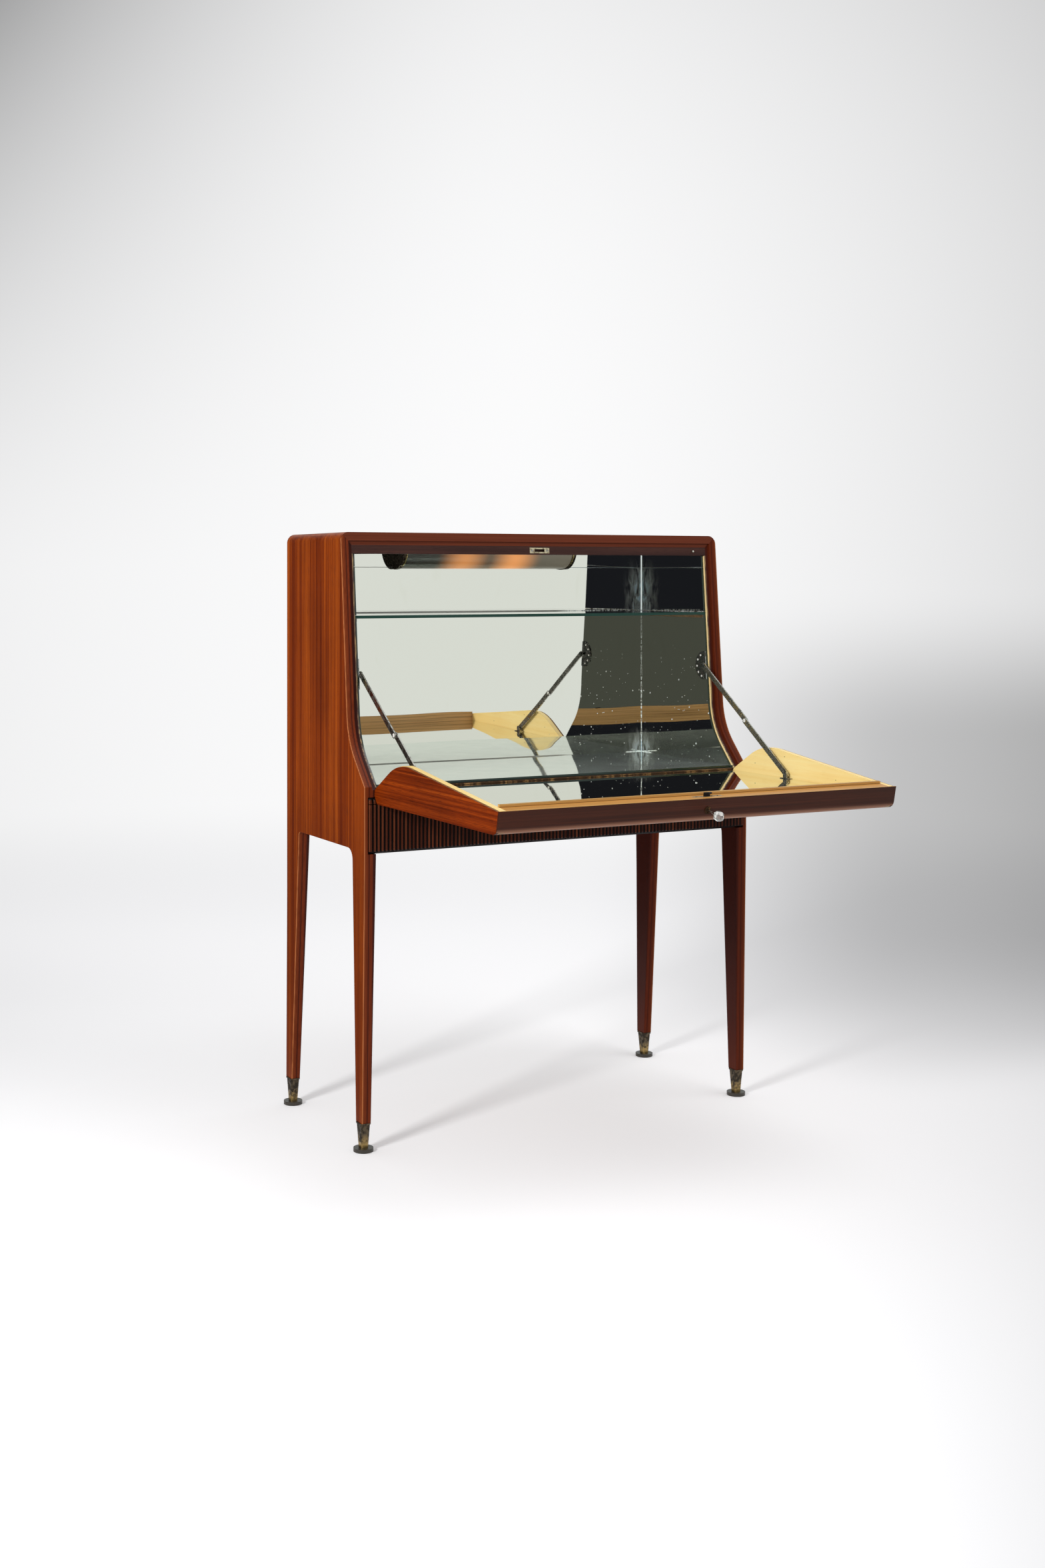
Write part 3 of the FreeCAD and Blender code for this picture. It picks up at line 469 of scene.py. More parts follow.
@dataclass(frozen=True)
class AgedMirror(Finish):
    """Old mirror glass: a cool tint, a dull film, specks, and silver lost along its joints.

    The silvered face looks along one axis. Corners are upright joints, by axis and
    place, and levels are lying ones. A glass that leans does so below the shelf and
    above its upper joint.
    """

    axis: int
    sign: float
    corners: tuple[tuple[int, float], ...] = ()
    levels: tuple[float, ...] = ()
    shelf: float = 1.034
    foot: float = 0.709
    lean: float = 0.0
    dust: float = 0.0
    specked: float = 1.0
    tint: Colour = (0.84, 0.84, 0.775)
    bare: Colour = (0.26, 0.47, 0.62)
    rim: Colour = (0.004, 0.02, 0.015)
    smudged: Colour = (0.6, 0.6, 0.44)
    worn_white: Colour = (0.9, 0.95, 0.95)
    stained: Colour = (0.04, 0.03, 0.02)
    painted_glow_line: Colour = (0.32, 0.35, 0.34)
    dark_from: float = 0.18
    dark_full: float = 0.24

    def near(self, place: Value, at: float, reach: float) -> Value:
        """1 at a joint, falling to 0 at reach from it."""
        return abs(place - at).smooth(reach, 0.0)

    def corner_wear(
        self, sheet: Sheet, axis: int, at: float, parts: tuple[Value, Value, Value]
    ) -> Value:
        """Silver lost beside one upright joint."""
        rise = parts[2]
        brushed = sheet.noise(sheet.stretched((110, 110, 26)), detail=4, warp=0.7)
        clouded = brushed.smooth(0.4, 0.66)
        above = self.near(rise, self.shelf + 0.035, 0.09) * rise.smooth(
            self.shelf - 0.002, self.shelf + 0.002
        )
        below = self.near(rise, self.foot, 0.06)
        haze = self.near(parts[axis], at, 0.055) * clouded * (above * 0.85 + below * 0.5)
        foot = self.near(parts[axis], at, 0.0035) * self.near(rise, self.foot, 0.05)
        return haze + foot * 0.8

    def corner_line(
        self, sheet: Sheet, axis: int, at: float, parts: tuple[Value, Value, Value]
    ) -> Value:
        """The pale line of bare glass along one upright joint, broken under the shelf; it also
        places the painted glow.
        """
        fine = sheet.noise(sheet.stretched((500, 500, 160)), detail=2)
        whole = parts[2].smooth(self.shelf - 0.001, self.shelf + 0.001)
        broken = fine.smooth(0.44, 0.6) * 0.8
        return abs(parts[axis] - at).smooth(0.0024, 0.0012) * (whole | broken)

    def floor_wear(self, sheet: Sheet, parts: tuple[Value, Value, Value]) -> Value:
        """Silver lost where two joints of the lying mirror cross."""
        (_, across), (_, deep) = self.corners
        cloud = sheet.noise(sheet.stretched((60, 60, 60)), detail=4, warp=0.5).smooth(0.4, 0.65)
        near_x = self.near(parts[0], across, 0.05)
        near_y = self.near(parts[1], deep, 0.09)
        line_x = self.near(parts[0], across, 0.0018)
        line_y = self.near(parts[1], deep, 0.004)
        return near_x * near_y * cloud * 0.3 + line_x * near_y * 0.9 + line_y * near_x * 0.7

    def relief(self, sheet: Sheet, rise: Value) -> Value:
        """The slow wave of the glass, and its lean."""
        height = sheet.noise(sheet.stretched((3.2, 3.2, 3.2)), detail=1) * 0.0012
        if self.lean:
            over = (rise - self.levels[0]) | 0.0
            height = height + ((rise & self.shelf) + over) * self.lean
        return height

    def marks(
        self, sheet: Sheet, parts: tuple[Value, Value, Value]
    ) -> tuple[Value, Value, Value, Value]:
        """What age has done to the glass, place by place.

        Args:
            sheet: The node tree that it is drawn in.
            parts: The point on the glass.

        Returns:
            Where silver is lost, where it is white, where it is dark, and where a
            painted glow runs along a bare joint.
        """
        rise = parts[2]
        fine = sheet.noise(sheet.stretched((330, 330, 330)), detail=2)
        toward = parts[0].smooth(0.1, 0.3) * rise.smooth(0.99, 0.82)
        specks = sheet.dots(0.009, 0.0014, 0.16) | sheet.dots(0.015, 0.002, 0.16, 0.2)
        specks = (specks | sheet.dots(0.034, 0.003, 0.2, 0.4)) * 0.8
        white = specks * toward * self.specked
        dark_side = parts[0].smooth(self.dark_from, self.dark_full)
        pale_side = 1.0 - dark_side
        dark = sheet.dots(0.09, 0.0011, 0.3, 0.7) * pale_side * 0.7
        lost = sheet.number(0.0)
        bright = sheet.number(0.0)
        if self.axis == 2:
            if self.corners:
                lost = self.floor_wear(sheet, parts)
            return lost & 1.0, white & 1.0, dark, bright
        joint = self.near(rise, self.foot + 0.0006, 0.0016)
        for axis, at in self.corners:
            lost = lost + self.corner_wear(sheet, axis, at, parts)
            line = self.corner_line(sheet, axis, at, parts)
            # Above the shelf the corner line also carries a painted glow.
            bright = bright | line * rise.smooth(self.shelf, self.shelf + 0.002)
            close = self.near(parts[axis], at, 0.06).smooth(0.1, 0.35)
            white = white | line | joint * close * fine.smooth(0.3, 0.5)
        dark = dark | joint * pale_side * 0.75
        for at in self.levels:
            wave = sheet.noise(sheet.stretched((26, 26, 26)), detail=2)
            line = self.near(rise + wave * 0.0014 - 0.0007, at, 0.0009)
            lost = lost + line * dark_side * 0.6
            dark = dark | line * pale_side * 0.85
            chipped = self.near(rise, self.shelf, 0.0024) * fine.smooth(0.42, 0.58)
            white = white | chipped * dark_side * 0.8
            seam = self.near(rise, self.shelf + 0.0012, 0.0012)
            dark = dark | seam * pale_side * 0.9
        return lost & 1.0, white & 1.0, dark, bright & 1.0

    def draw(self, sheet: Sheet) -> None:
        """A tinted metal, duller and paler where the silver has gone."""
        parts = sheet.parts(sheet.place())
        cloud = sheet.noise(sheet.stretched((22, 22, 9)), detail=4, warp=0.6)
        film = (cloud.smooth(0.2, 0.8) * 0.3 + 0.5) * self.dust
        lost, white, dark, bright = self.marks(sheet, parts)
        smudge = cloud.smooth(0.6, 0.85) * 0.12
        colour = sheet.mix(smudge, self.tint, self.smudged)
        colour = sheet.mix(lost | film, colour, self.bare)
        colour = sheet.mix(white, colour, self.worn_white)
        colour = sheet.mix(dark, colour, self.stained)
        normal = sheet.parts(sheet.add("ShaderNodeTexCoord", output="Normal"))
        face = (normal[self.axis] * self.sign).smooth(0.4, 0.6)
        colour = sheet.mix(face, self.rim, colour)
        worn = lost | white | dark
        sheet.surface(
            Base_Color=colour, Metallic=(1.0 - (worn | film) * 0.95) * face,
            Roughness=worn * 0.5 + film * 0.06 + 0.012 + (1.0 - face) * 0.12,
            # Painted glow along the bare corner joints above the shelf.
            Emission_Color=sheet.mix(bright, (0, 0, 0), self.painted_glow_line),
            Emission_Strength=1.0,
            Normal=sheet.bump(self.relief(sheet, parts[2]), 1.0),
        )


@dataclass(frozen=True)
class WornMetal(Finish):
    """Old plated or polished metal, with stains where the hand and the air got at it."""

    bright: Colour
    stain: Colour
    gloss: float = 0.22
    stain_share: float = 0.5
    golden_below: float = 0.0
    golden: Colour = (0.5, 0.31, 0.1)

    def draw(self, sheet: Sheet) -> None:
        """Bright metal under soft stains and fine scratches."""
        cloud = sheet.noise(sheet.stretched((130, 130, 130)), detail=5, warp=0.5)
        scratch = sheet.noise(sheet.stretched((2600, 240, 500)), detail=1)
        edge = 0.5 + (0.5 - self.stain_share) * 0.3
        stained = cloud.smooth(edge - 0.09, edge + 0.1)
        metal = sheet.mix(scratch * 0.3, self.bright, self.stain)
        if self.golden_below:
            _, _, height = sheet.parts(sheet.place())
            low = (height + cloud * 0.024).smooth(
                self.golden_below + 0.026, self.golden_below
            )
            metal = sheet.mix(low, metal, self.golden)
            stained = stained * (1.0 - low * 0.75)
        colour = sheet.mix(stained * 0.85, metal, self.stain)
        rough = self.gloss + stained * 0.3 + scratch * 0.08
        sheet.surface(
            Base_Color=colour, Metallic=1.0 - stained * 0.15, Roughness=rough,
            Normal=sheet.bump(cloud + scratch * 0.2, 0.00005, sheet.eased(0.0003)),
        )


@dataclass(frozen=True)
class PlateGlass(Finish):
    """Clear glass that is deep green through its long edges."""

    front: float
    back: float
    clear: Colour = (0.955, 0.985, 0.97)
    edge: Colour = (0.003, 0.035, 0.024)

    def draw(self, sheet: Sheet) -> None:
        """Clear faces with dark green front and back edges and a little dust."""
        _, y, _ = sheet.parts(sheet.place())
        dust = sheet.noise(sheet.stretched((60, 60, 60)), detail=4)
        face = sheet.add("ShaderNodeBsdfPrincipled", inputs={
            "Base Color": self.clear, "Roughness": dust.smooth(0.5, 0.8) * 0.04 + 0.004,
            "IOR": 1.5, "Transmission Weight": 1.0,
        })
        side = sheet.add("ShaderNodeBsdfPrincipled", inputs={
            "Base Color": self.edge, "Roughness": 0.12, "Specular IOR Level": 0.3,
        })
        middle = (self.front + self.back) / 2
        half = (self.back - self.front) / 2
        inputs = {0: abs(y - middle).smooth(half - 0.0016, half - 0.0008), 1: face, 2: side}
        both = sheet.add("ShaderNodeMixShader", inputs=inputs)
        sheet.add("ShaderNodeOutputMaterial", inputs={"Surface": both})


@dataclass(frozen=True)
class CutGlass(Finish):
    """The clear faceted stuff of the key's knob."""

    def draw(self, sheet: Sheet) -> None:
        """Clear with a faint warm cloud."""
        cloud = sheet.noise(sheet.stretched((150, 150, 150)), detail=3)
        colour = sheet.mix(cloud, (0.96, 0.95, 0.92), (0.82, 0.8, 0.76))
        sheet.surface(
            Base_Color=colour, Roughness=cloud * 0.06 + 0.02, IOR=1.5,
            Transmission_Weight=0.85,
        )


@dataclass(frozen=True)
class LitShade(Finish):
    """A frosted shade, warm where a lamp burns behind it."""

    glows: tuple[float, float]
    reach: float = 0.07
    unlit_left: Colour = (0.0, 0.0, 0.0)
    painted_light_right: Colour = (0.1, 0.088, 0.065)
    warm: Colour = (0.98, 0.37, 0.095)

    def draw(self, sheet: Sheet) -> None:
        """A dim satin tube with soft round glows, with painted light toward its right end and
        painted shade toward its left.
        """
        x, _, _ = sheet.parts(sheet.place())
        streaks = sheet.noise(sheet.stretched((8, 900, 900)), detail=2)
        left, right = (abs(x - at).smooth(self.reach, 0.0) for at in self.glows)
        side = x.smooth(-0.2, 0.21)
        # Away from the glows the emission is black at the left and painted light at the right.
        dull = sheet.mix(side, self.unlit_left, self.painted_light_right)
        warm = sheet.mix((left * 0.8 + right & 1.0) * 0.85, dull, self.warm)
        # Base colour dark at the left and pale at the right: painted shade and painted light along
        # the tube.
        base = sheet.mix(side, (0.04, 0.037, 0.029), (0.14, 0.124, 0.094))
        sheet.surface(
            Base_Color=base, Roughness=streaks * 0.1 + 0.3,
            Emission_Color=warm, Emission_Strength=0.85,
            Coat_Weight=0.25, Coat_Roughness=0.25,
        )


@dataclass(frozen=True)
class LitBulb(Finish):
    """A warm frosted bulb."""

    def draw(self, sheet: Sheet) -> None:
        """White glass with a warm light of its own."""
        cloud = sheet.noise(sheet.stretched((90, 90, 90)), detail=2)
        warm = sheet.mix(cloud, (1.0, 0.62, 0.3), (1.0, 0.75, 0.45))
        sheet.surface(
            Base_Color=(0.8, 0.7, 0.55), Roughness=0.4,
            Emission_Color=warm, Emission_Strength=3.0,
        )


@dataclass(frozen=True)
class Moulded(Finish):
    """Plain moulded stuff or dull paint, slightly mottled."""

    colour: Colour
    shade: Colour
    gloss: float = 0.5

    def draw(self, sheet: Sheet) -> None:
        """A mottled satin surface."""
        cloud = sheet.noise(sheet.stretched((70, 70, 70)), detail=4)
        grit = sheet.noise(sheet.stretched((1500, 1500, 1500)), detail=1)
        sheet.surface(
            Base_Color=sheet.mix(cloud, self.colour, self.shade),
            Roughness=self.gloss + cloud * 0.15,
            Normal=sheet.bump(grit, 0.00003, sheet.eased(0.0006)),
        )


class Finishes:
    """Every finish of the cabinet, by the maker's name for it."""

    # Bands across a side panel's front edge; the bright stop at 0.96 is a painted highlight on the
    # outer arris.
    FRAME_BANDS_WITH_HIGHLIGHT = (
        (0.0, (0.03, 0.007, 0.006)), (0.22, (0.04, 0.009, 0.006)), (0.3, (0.15, 0.026, 0.008)),
        (0.5, (0.16, 0.028, 0.008)), (0.56, (0.035, 0.007, 0.004)), (0.66, (0.15, 0.026, 0.007)),
        (0.9, (0.2, 0.04, 0.01)), (0.96, (0.6, 0.22, 0.08)), (1.0, (0.35, 0.08, 0.02)),
    )
    SIDE = Veneer(
        "side_veneer",
        ((0.34, (0.085, 0.009, 0.0006)), (0.45, (0.16, 0.021, 0.001)),
         (0.55, (0.27, 0.046, 0.002)), (0.68, (0.4, 0.085, 0.005))),
        (0.055, 0.006, 0.001), Grain.UPRIGHT, Outside.SIDES, (0.075, 0.022, 0.013),
        bands=FRAME_BANDS_WITH_HIGHLIGHT, low_shade=0.34, right_shade=0.5, gloss=0.34, shine=0.07,
    )
    TOP = Veneer(
        "top_veneer",
        ((0.34, (0.12, 0.018, 0.002)), (0.5, (0.24, 0.04, 0.005)),
         (0.68, (0.38, 0.09, 0.012))),
        (0.06, 0.01, 0.003), Grain.ACROSS, Outside.TOP, (0.125, 0.026, 0.01),
        seed=3.1, shine=0.12,
    )
    CHEEK = Veneer(
        "cheek_veneer",
        ((0.34, (0.058, 0.006, 0.0004)), (0.46, (0.15, 0.017, 0.0007)),
         (0.56, (0.27, 0.038, 0.0014)), (0.68, (0.4, 0.078, 0.004))),
        (0.03, 0.004, 0.001), Grain.DEEP, Outside.SIDES, (0.06, 0.018, 0.01),
        top_edge=(0.2, 0.09, 0.04), streak=1.2, seed=5.7, pore_depth=0.7, shine=0.08,
    )
    DARK_RAIL = Veneer(
        "dark_rail",
        ((0.34, (0.031, 0.007, 0.003)), (0.5, (0.055, 0.0125, 0.005)),
         (0.68, (0.094, 0.025, 0.011))),
        (0.022, 0.007, 0.004), Grain.ACROSS, Outside.FRONT, (0.8, 0.48, 0.22),
        # under is a painted sheen of the reflected floor on the rail's lower faces.
        top_edge=(0.56, 0.31, 0.09), under=(0.27, 0.115, 0.06), seed=8.3, gloss=0.34,
        pore_depth=0.4, shine=0.17,
    )
    FLAP_FACE = Veneer(
        "flap_face_veneer",
        ((0.34, (0.075, 0.009, 0.001)), (0.45, (0.14, 0.021, 0.002)),
         (0.55, (0.24, 0.044, 0.004)), (0.68, (0.36, 0.082, 0.009))),
        (0.05, 0.008, 0.002), Grain.ACROSS, Outside.UNDER, (0.045, 0.021, 0.009),
        streak=1.1, seed=6.6, gloss=0.36, shine=0.14,
    )
    DARK_BOARD = Veneer(
        "dark_board",
        ((0.4, (0.03, 0.014, 0.006)), (0.58, (0.055, 0.026, 0.011)),
         (0.68, (0.34, 0.19, 0.07))),
        (0.015, 0.007, 0.004), Grain.ACROSS, seed=5.1, gloss=0.5, shine=0.2,
    )
    HEAD = Veneer(
        "head_rail_veneer",
        ((0.34, (0.024, 0.009, 0.008)), (0.5, (0.045, 0.017, 0.013)),
         (0.68, (0.075, 0.028, 0.02))),
        (0.014, 0.005, 0.005), Grain.ACROSS, Outside.FRONT, (0.5, 0.42, 0.3),
        seed=9.9, gloss=0.4, shine=0.14,
    )
    REEDS = Veneer(
        "reeded_front",
        ((0.36, (0.026, 0.004, 0.001)), (0.5, (0.068, 0.013, 0.004)),
         (0.66, (0.2, 0.055, 0.02))),
        (0.005, 0.0012, 0.0006), Grain.UPRIGHT, seed=2.2, gloss=0.32, shine=0.1,
    )
    BLONDE = Veneer(
        "blonde_lining",
        ((0.3, (0.84, 0.55, 0.18)), (0.5, (0.95, 0.7, 0.27)),
         (0.7, (0.98, 0.79, 0.37))),
        (0.75, 0.45, 0.13), Grain.DEEP, Outside.INNER, (0.13, 0.05, 0.02),
        streak=0.2, seed=1.4, pore_depth=0.1, gloss=0.42,
    )
    UPRIGHT_BLONDE = Veneer(
        "blonde_edge",
        ((0.3, (0.84, 0.56, 0.22)), (0.5, (0.94, 0.7, 0.34)),
         (0.7, (0.97, 0.78, 0.44))),
        (0.66, 0.42, 0.16), Grain.UPRIGHT, Outside.BEHIND, (0.04, 0.014, 0.01),
        streak=0.6, seed=4.4, pore_depth=0.12,
    )
    MOULDING = Veneer(
        "blonde_moulding",
        ((0.3, (0.4, 0.17, 0.03)), (0.5, (0.56, 0.27, 0.06)),
         (0.7, (0.66, 0.36, 0.1))),
        (0.28, 0.11, 0.025), Grain.ACROSS, streak=0.8, seed=6.1, pore_depth=0.35, shine=0.3,
    )
    RAW = Veneer(
        "plain_board",
        ((0.3, (0.17, 0.09, 0.04)), (0.5, (0.27, 0.155, 0.075)),
         (0.72, (0.36, 0.22, 0.11))),
        (0.1, 0.05, 0.025), Grain.ACROSS, seed=7.7, gloss=0.62, shine=0.3, streak=0.7,
    )
    NICKEL = WornMetal("worn_nickel", (0.6, 0.6, 0.56), (0.11, 0.095, 0.075), 0.16, 0.36)
    PLATE = WornMetal("dark_nickel", (0.4, 0.41, 0.4), (0.06, 0.045, 0.035), 0.1, 0.3)
    BRIGHT = WornMetal("bright_nickel", (0.72, 0.69, 0.62), (0.25, 0.2, 0.14), 0.14, 0.25)
    LOCK_BRASS = WornMetal("pale_brass", (0.66, 0.58, 0.4), (0.2, 0.15, 0.09), 0.25, 0.35)
    HINGE_BRASS = WornMetal("hinge_brass", (0.22, 0.12, 0.045), (0.03, 0.014, 0.007), 0.4, 0.7)
    BRONZE = WornMetal("dark_bronze", (0.085, 0.06, 0.042), (0.03, 0.02, 0.014), 0.2, 0.5)
    RIM = WornMetal("brass_rim", (0.5, 0.4, 0.18), (0.12, 0.08, 0.035), 0.2, 0.4)
    SABOT = WornMetal(
        "aged_sabot", (0.13, 0.1, 0.065), (0.03, 0.024, 0.018), 0.3, 0.55,
        golden_below=0.02, golden=(0.42, 0.29, 0.11),
    )
    BLACK_IRON = WornMetal("black_iron", (0.05, 0.05, 0.05), (0.012, 0.01, 0.01), 0.35, 0.5)
    # Near-white rivet heads: a painted glint standing in for polished nickel.
    GLINT_RIVET = Moulded("painted_glint_rivet", (0.85, 0.84, 0.8), (0.55, 0.53, 0.48), 0.2)
    STEEL = WornMetal("screw_steel", (0.45, 0.44, 0.42), (0.12, 0.1, 0.08), 0.3, 0.4)
    DISC = Moulded("dark_disc", (0.02, 0.018, 0.015), (0.045, 0.035, 0.022), 0.35)
    FITTING = Moulded("lamp_fitting", (0.5, 0.47, 0.4), (0.35, 0.32, 0.27))
    KNOB = CutGlass("cut_glass")


class Work:
    """A mesh in the making, from the operators of bmesh."""

    def __init__(self) -> None:
        """Start with nothing."""
        self.bm = bmesh.new()

    def block(self, low: Vector, high: Vector) -> None:
        """Add a block between two corners."""
        size = high - low
        place = Matrix.Translation((low + high) / 2) @ Matrix.Diagonal((*size, 1.0))
        bmesh.ops.create_cube(self.bm, size=1.0, matrix=place)

    def turned(
        self, profile: Sequence[tuple[float, float]], start: Vector, axis: Vector, steps: int = 24
    ) -> None:
        """Add a turned piece.

        Args:
            profile: Radius and distance along the axis of each corner, in order.
            start: Where the axis begins.
            axis: Which way it runs.
            steps: How many facets go round.
        """
        ahead = axis.normalized()
        aside = ahead.orthogonal().normalized()
        points = [start + ahead * along + aside * radius for radius, along in profile]
        verts = [self.bm.verts.new(point) for point in points]
        edges = [self.bm.edges.new(pair) for pair in zip(verts, verts[1:])]
        bmesh.ops.spin(
            self.bm, geom=verts + edges, cent=start, axis=ahead, dvec=(0, 0, 0),
            angle=math.tau, steps=steps, use_merge=True, use_duplicate=False,
        )

    def dome(self, centre: Vector, axis: Vector, radius: float, height: float) -> None:
        """Add a round rivet or pan head that stands on a face."""
        sunk = -0.2 * MM
        skirt = 0.15
        profile = [(0.0, sunk), (radius, sunk), (radius, skirt * height)]
        for step in range(1, 4):
            turn = step / 4 * math.pi / 2
            rise = skirt + (1 - skirt) * math.sin(turn)
            profile.append((radius * math.cos(turn), height * rise))
        self.turned([*profile, (0.0, height)], centre, axis, 16)

    def slotted(self, centre: Vector, axis: Vector, radius: float, turn: float) -> None:
        """Add a flat screw head with a slot.

        Args:
            centre: The middle of its seat.
            axis: Which way it faces.
            radius: Half its width.
            turn: Which way the slot points, in degrees.
        """
        height = 0.5 * MM
        half = 0.35 * MM
        place = Matrix.Translation(centre) @ axis.to_track_quat("Z", "Y").to_matrix().to_4x4()
        place = place @ Matrix.Rotation(math.radians(turn), 4, "Z")
        part = bmesh.new()
        bmesh.ops.create_cone(
            part, cap_ends=True, cap_tris=False, segments=20,
            radius1=radius, radius2=radius * 0.93, depth=height,
        )
        for side in (-half, half):
            geom = list(part.verts) + list(part.edges) + list(part.faces)
            bmesh.ops.bisect_plane(part, geom=geom, plane_co=(0, side, 0), plane_no=(0, 1, 0))
        slot = [
            f for f in part.faces
            if f.normal.z > 0.9 and abs(f.calc_center_median().y) < half
        ]
        grown = bmesh.ops.extrude_face_region(part, geom=slot)
        lowered = [v for v in grown["geom"] if isinstance(v, bmesh.types.BMVert)]
        bmesh.ops.delete(part, geom=slot, context="FACES_ONLY")
        bmesh.ops.translate(part, verts=lowered, vec=(0, 0, -0.6 * height))
        bmesh.ops.transform(part, verts=part.verts, matrix=place)
        self.take(part)

    def take(self, part: bmesh.types.BMesh) -> None:
        """Add another mesh to this one, and free it."""
        mesh = bpy.data.meshes.new("part")
        part.to_mesh(mesh)
        part.free()
        self.bm.from_mesh(mesh)
        bpy.data.meshes.remove(mesh)

    def finish(
        self, name: str, body: str, finish: Finish, slot: str, replaces: Sequence[str] = ()
    ) -> None:
        """Turn the mesh into a piece of the cabinet.

        Args:
            name: The piece's name.
            body: The body of the model that it rides on.
            finish: How it is finished.
            slot: A material slot of the record; not used.
            replaces: The nodes of the model that it stands for.
        """
        bmesh.ops.remove_doubles(self.bm, verts=self.bm.verts, dist=1e-6)
        bmesh.ops.recalc_face_normals(self.bm, faces=self.bm.faces)
        for face in self.bm.faces:
            face.smooth = True
        for edge in self.bm.edges:
            edge.smooth = edge.calc_face_angle(0.0) < SHARP_ANGLE
        mesh = bpy.data.meshes.new(name)
        self.bm.to_mesh(mesh)
        self.bm.free()
        piece = bpy.data.objects.new(name, mesh)
        bpy.context.scene.collection.objects.link(piece)
        mesh.materials.append(finish.material())
        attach(piece, body)
        if replaces:
            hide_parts(*replaces)
        LOG.info("%s rides on %s", name, body)


def centre_of(node: str) -> Vector:
    """The middle of a node's box."""
    low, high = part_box(node)
    return (low + high) / 2


@dataclass
class ReededFront:
    """The drawer fronts and the rail over them, with round reeds from end to end."""

    pitch: float = 8.4 * MM
    crest: float = 2.8 * MM
    depth: float = 2.8 * MM
    end: float = 6.0 * MM
    bevel: float = 6.0 * MM
    seam: float = 1.5 * MM
    flute_steps: int = 7
    crest_steps: int = 3

    def stations(self, start: float, end: float) -> list[tuple[float, float]]:
        """Places along the front with the depth of the face at each.

        Args:
            start: The middle end of the run.
            end: Its outer end.

        Returns:
            Pairs of place and depth, from start to end.
        """
        first = self.seam / 2 + self.crest / 2
        run = end - self.end + self.crest - first
        count = round(run / self.pitch)
        pitch = run / count
        flute = pitch - self.crest
        places = [(start, 0.0)]
        for index in range(count):
            left = first + index * pitch
            for step in range(self.flute_steps + 1):
                share = step / self.flute_steps
                sunk = self.depth * math.sin(math.pi * share) ** 0.7
                places.append((left + flute * share, sunk))
            for step in range(1, self.crest_steps):
                share = step / self.crest_steps
                crown = -0.12 * self.depth * math.sin(math.pi * share)
                if index < count - 1:
                    places.append((left + flute + self.crest * share, crown))
        places.append((end, 0.0))
        return places

    def board(self, work: Work, span: tuple[float, float], node: str, up: int) -> None:
        """Add one reeded board.

        Args:
            work: The mesh that it joins.
            span: Its inner and outer end along X; both are below zero on the left.
            node: The node whose height and depth it has.
            up: -1 where its lower end is bevelled, and 1 where its upper end is.
        """
        low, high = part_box(node)
        side = -1 if span[1] < 0 else 1
        places = self.stations(abs(span[0]), abs(span[1]))
        edge = low.z if up < 0 else high.z
        far_edge = high.z if up < 0 else low.z
        slope = -up * self.bevel
        rows = [edge, edge + slope * 0.25, edge + slope * 0.55, edge + slope, far_edge]
        part = bmesh.new()
        columns = len(places)
        bmesh.ops.create_grid(
            part, x_segments=columns - 1, y_segments=len(rows) - 1, size=1.0
        )
        back = low.y + 15 * MM
        for vert in part.verts:
            column = round((vert.co.x + 1) / 2 * (columns - 1))
            row = round((vert.co.y + 1) / 2 * (len(rows) - 1))
            along, sunk = places[column]
            cut = self.bevel - abs(rows[row] - edge)
            vert.co = (side * along, low.y + max(sunk, cut), rows[row])
        grown = bmesh.ops.extrude_face_region(part, geom=list(part.faces))
        for vert in grown["geom"]:
            if isinstance(vert, bmesh.types.BMVert):
                vert.co.y = back
        work.take(part)

    def build(self) -> None:
        """Make both drawer fronts and the rail."""
        # crest_y sets where the painted shade of the reed grooves begins.
        finish = replace(Finishes.REEDS, crest_y=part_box("fascia_rail")[0].y)
        for side, name in ((-1, "left"), (1, "right")):
            node = f"drawer_{name}_front"
            low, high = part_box(node)
            span = (high.x, low.x) if side < 0 else (low.x, high.x)
            work = Work()
            self.board(work, span, node, -1)
            work.finish(f"{node}_reeded", f"drawer_{name}", finish, "reeded_walnut", [node])
        low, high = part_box("fascia_rail")
        work = Work()
        for end in (low.x, high.x):
            self.board(work, (0.0, end), "fascia_rail", 1)
        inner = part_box("side_panel_right")[0].x
        work.block(Vector((-inner, low.y + 14 * MM, low.z)), Vector((inner, high.y, high.z)))
        work.finish("fascia_rail_reeded", "cabinet", finish, "reeded_walnut", ["fascia_rail"])


@dataclass
class LongHinge:
    """The long hinge between floor and flap, with its many knuckles."""

    knuckles: int = 33
    radius: float = 3.0 * MM
    bore: float = 1.6 * MM
    leaf: float = 1.2 * MM
    gap: float = 0.4 * MM
    leaf_drop: float = 2.6 * MM
    lap: float = 0.1 * MM

    def build(self) -> None:
        """Make both leaves with alternate knuckles."""
        low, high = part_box("hinge_pin")
        pitch = (high.x - low.x) / self.knuckles
        axis = (low + high) / 2
        leaves = (("hinge_leaf_body", "cabinet", 1), ("hinge_leaf_flap", "flap", -1))
        for parity, (node, body, side) in enumerate(leaves):
            bottom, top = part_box(node)
            outer = top.y if side > 0 else bottom.y
            near = outer - side * self.leaf
            work = Work()
            first, last = sorted((near, outer))
            leaf_top = axis.z - self.leaf_drop
            work.block(Vector((low.x, first, bottom.z)), Vector((high.x, last, leaf_top)))
            for index in range(parity, self.knuckles, 2):
                left = low.x + index * pitch + self.gap / 2
                length = pitch - self.gap
                start = Vector((left, axis.y, axis.z))
                ring = [(self.bore, 0.0), (self.radius, 0.0), (self.radius, length)]
                ring += [(self.bore, length), (self.bore, 0.0)]
                work.turned(ring, start, Vector((1, 0, 0)), 20)
                root = Vector((left, first, leaf_top - self.lap))
                work.block(root, Vector((left + length, last, axis.z)))
            work.finish(f"{node}_knuckled", body, Finishes.HINGE_BRASS, "hinge_brass", [node])


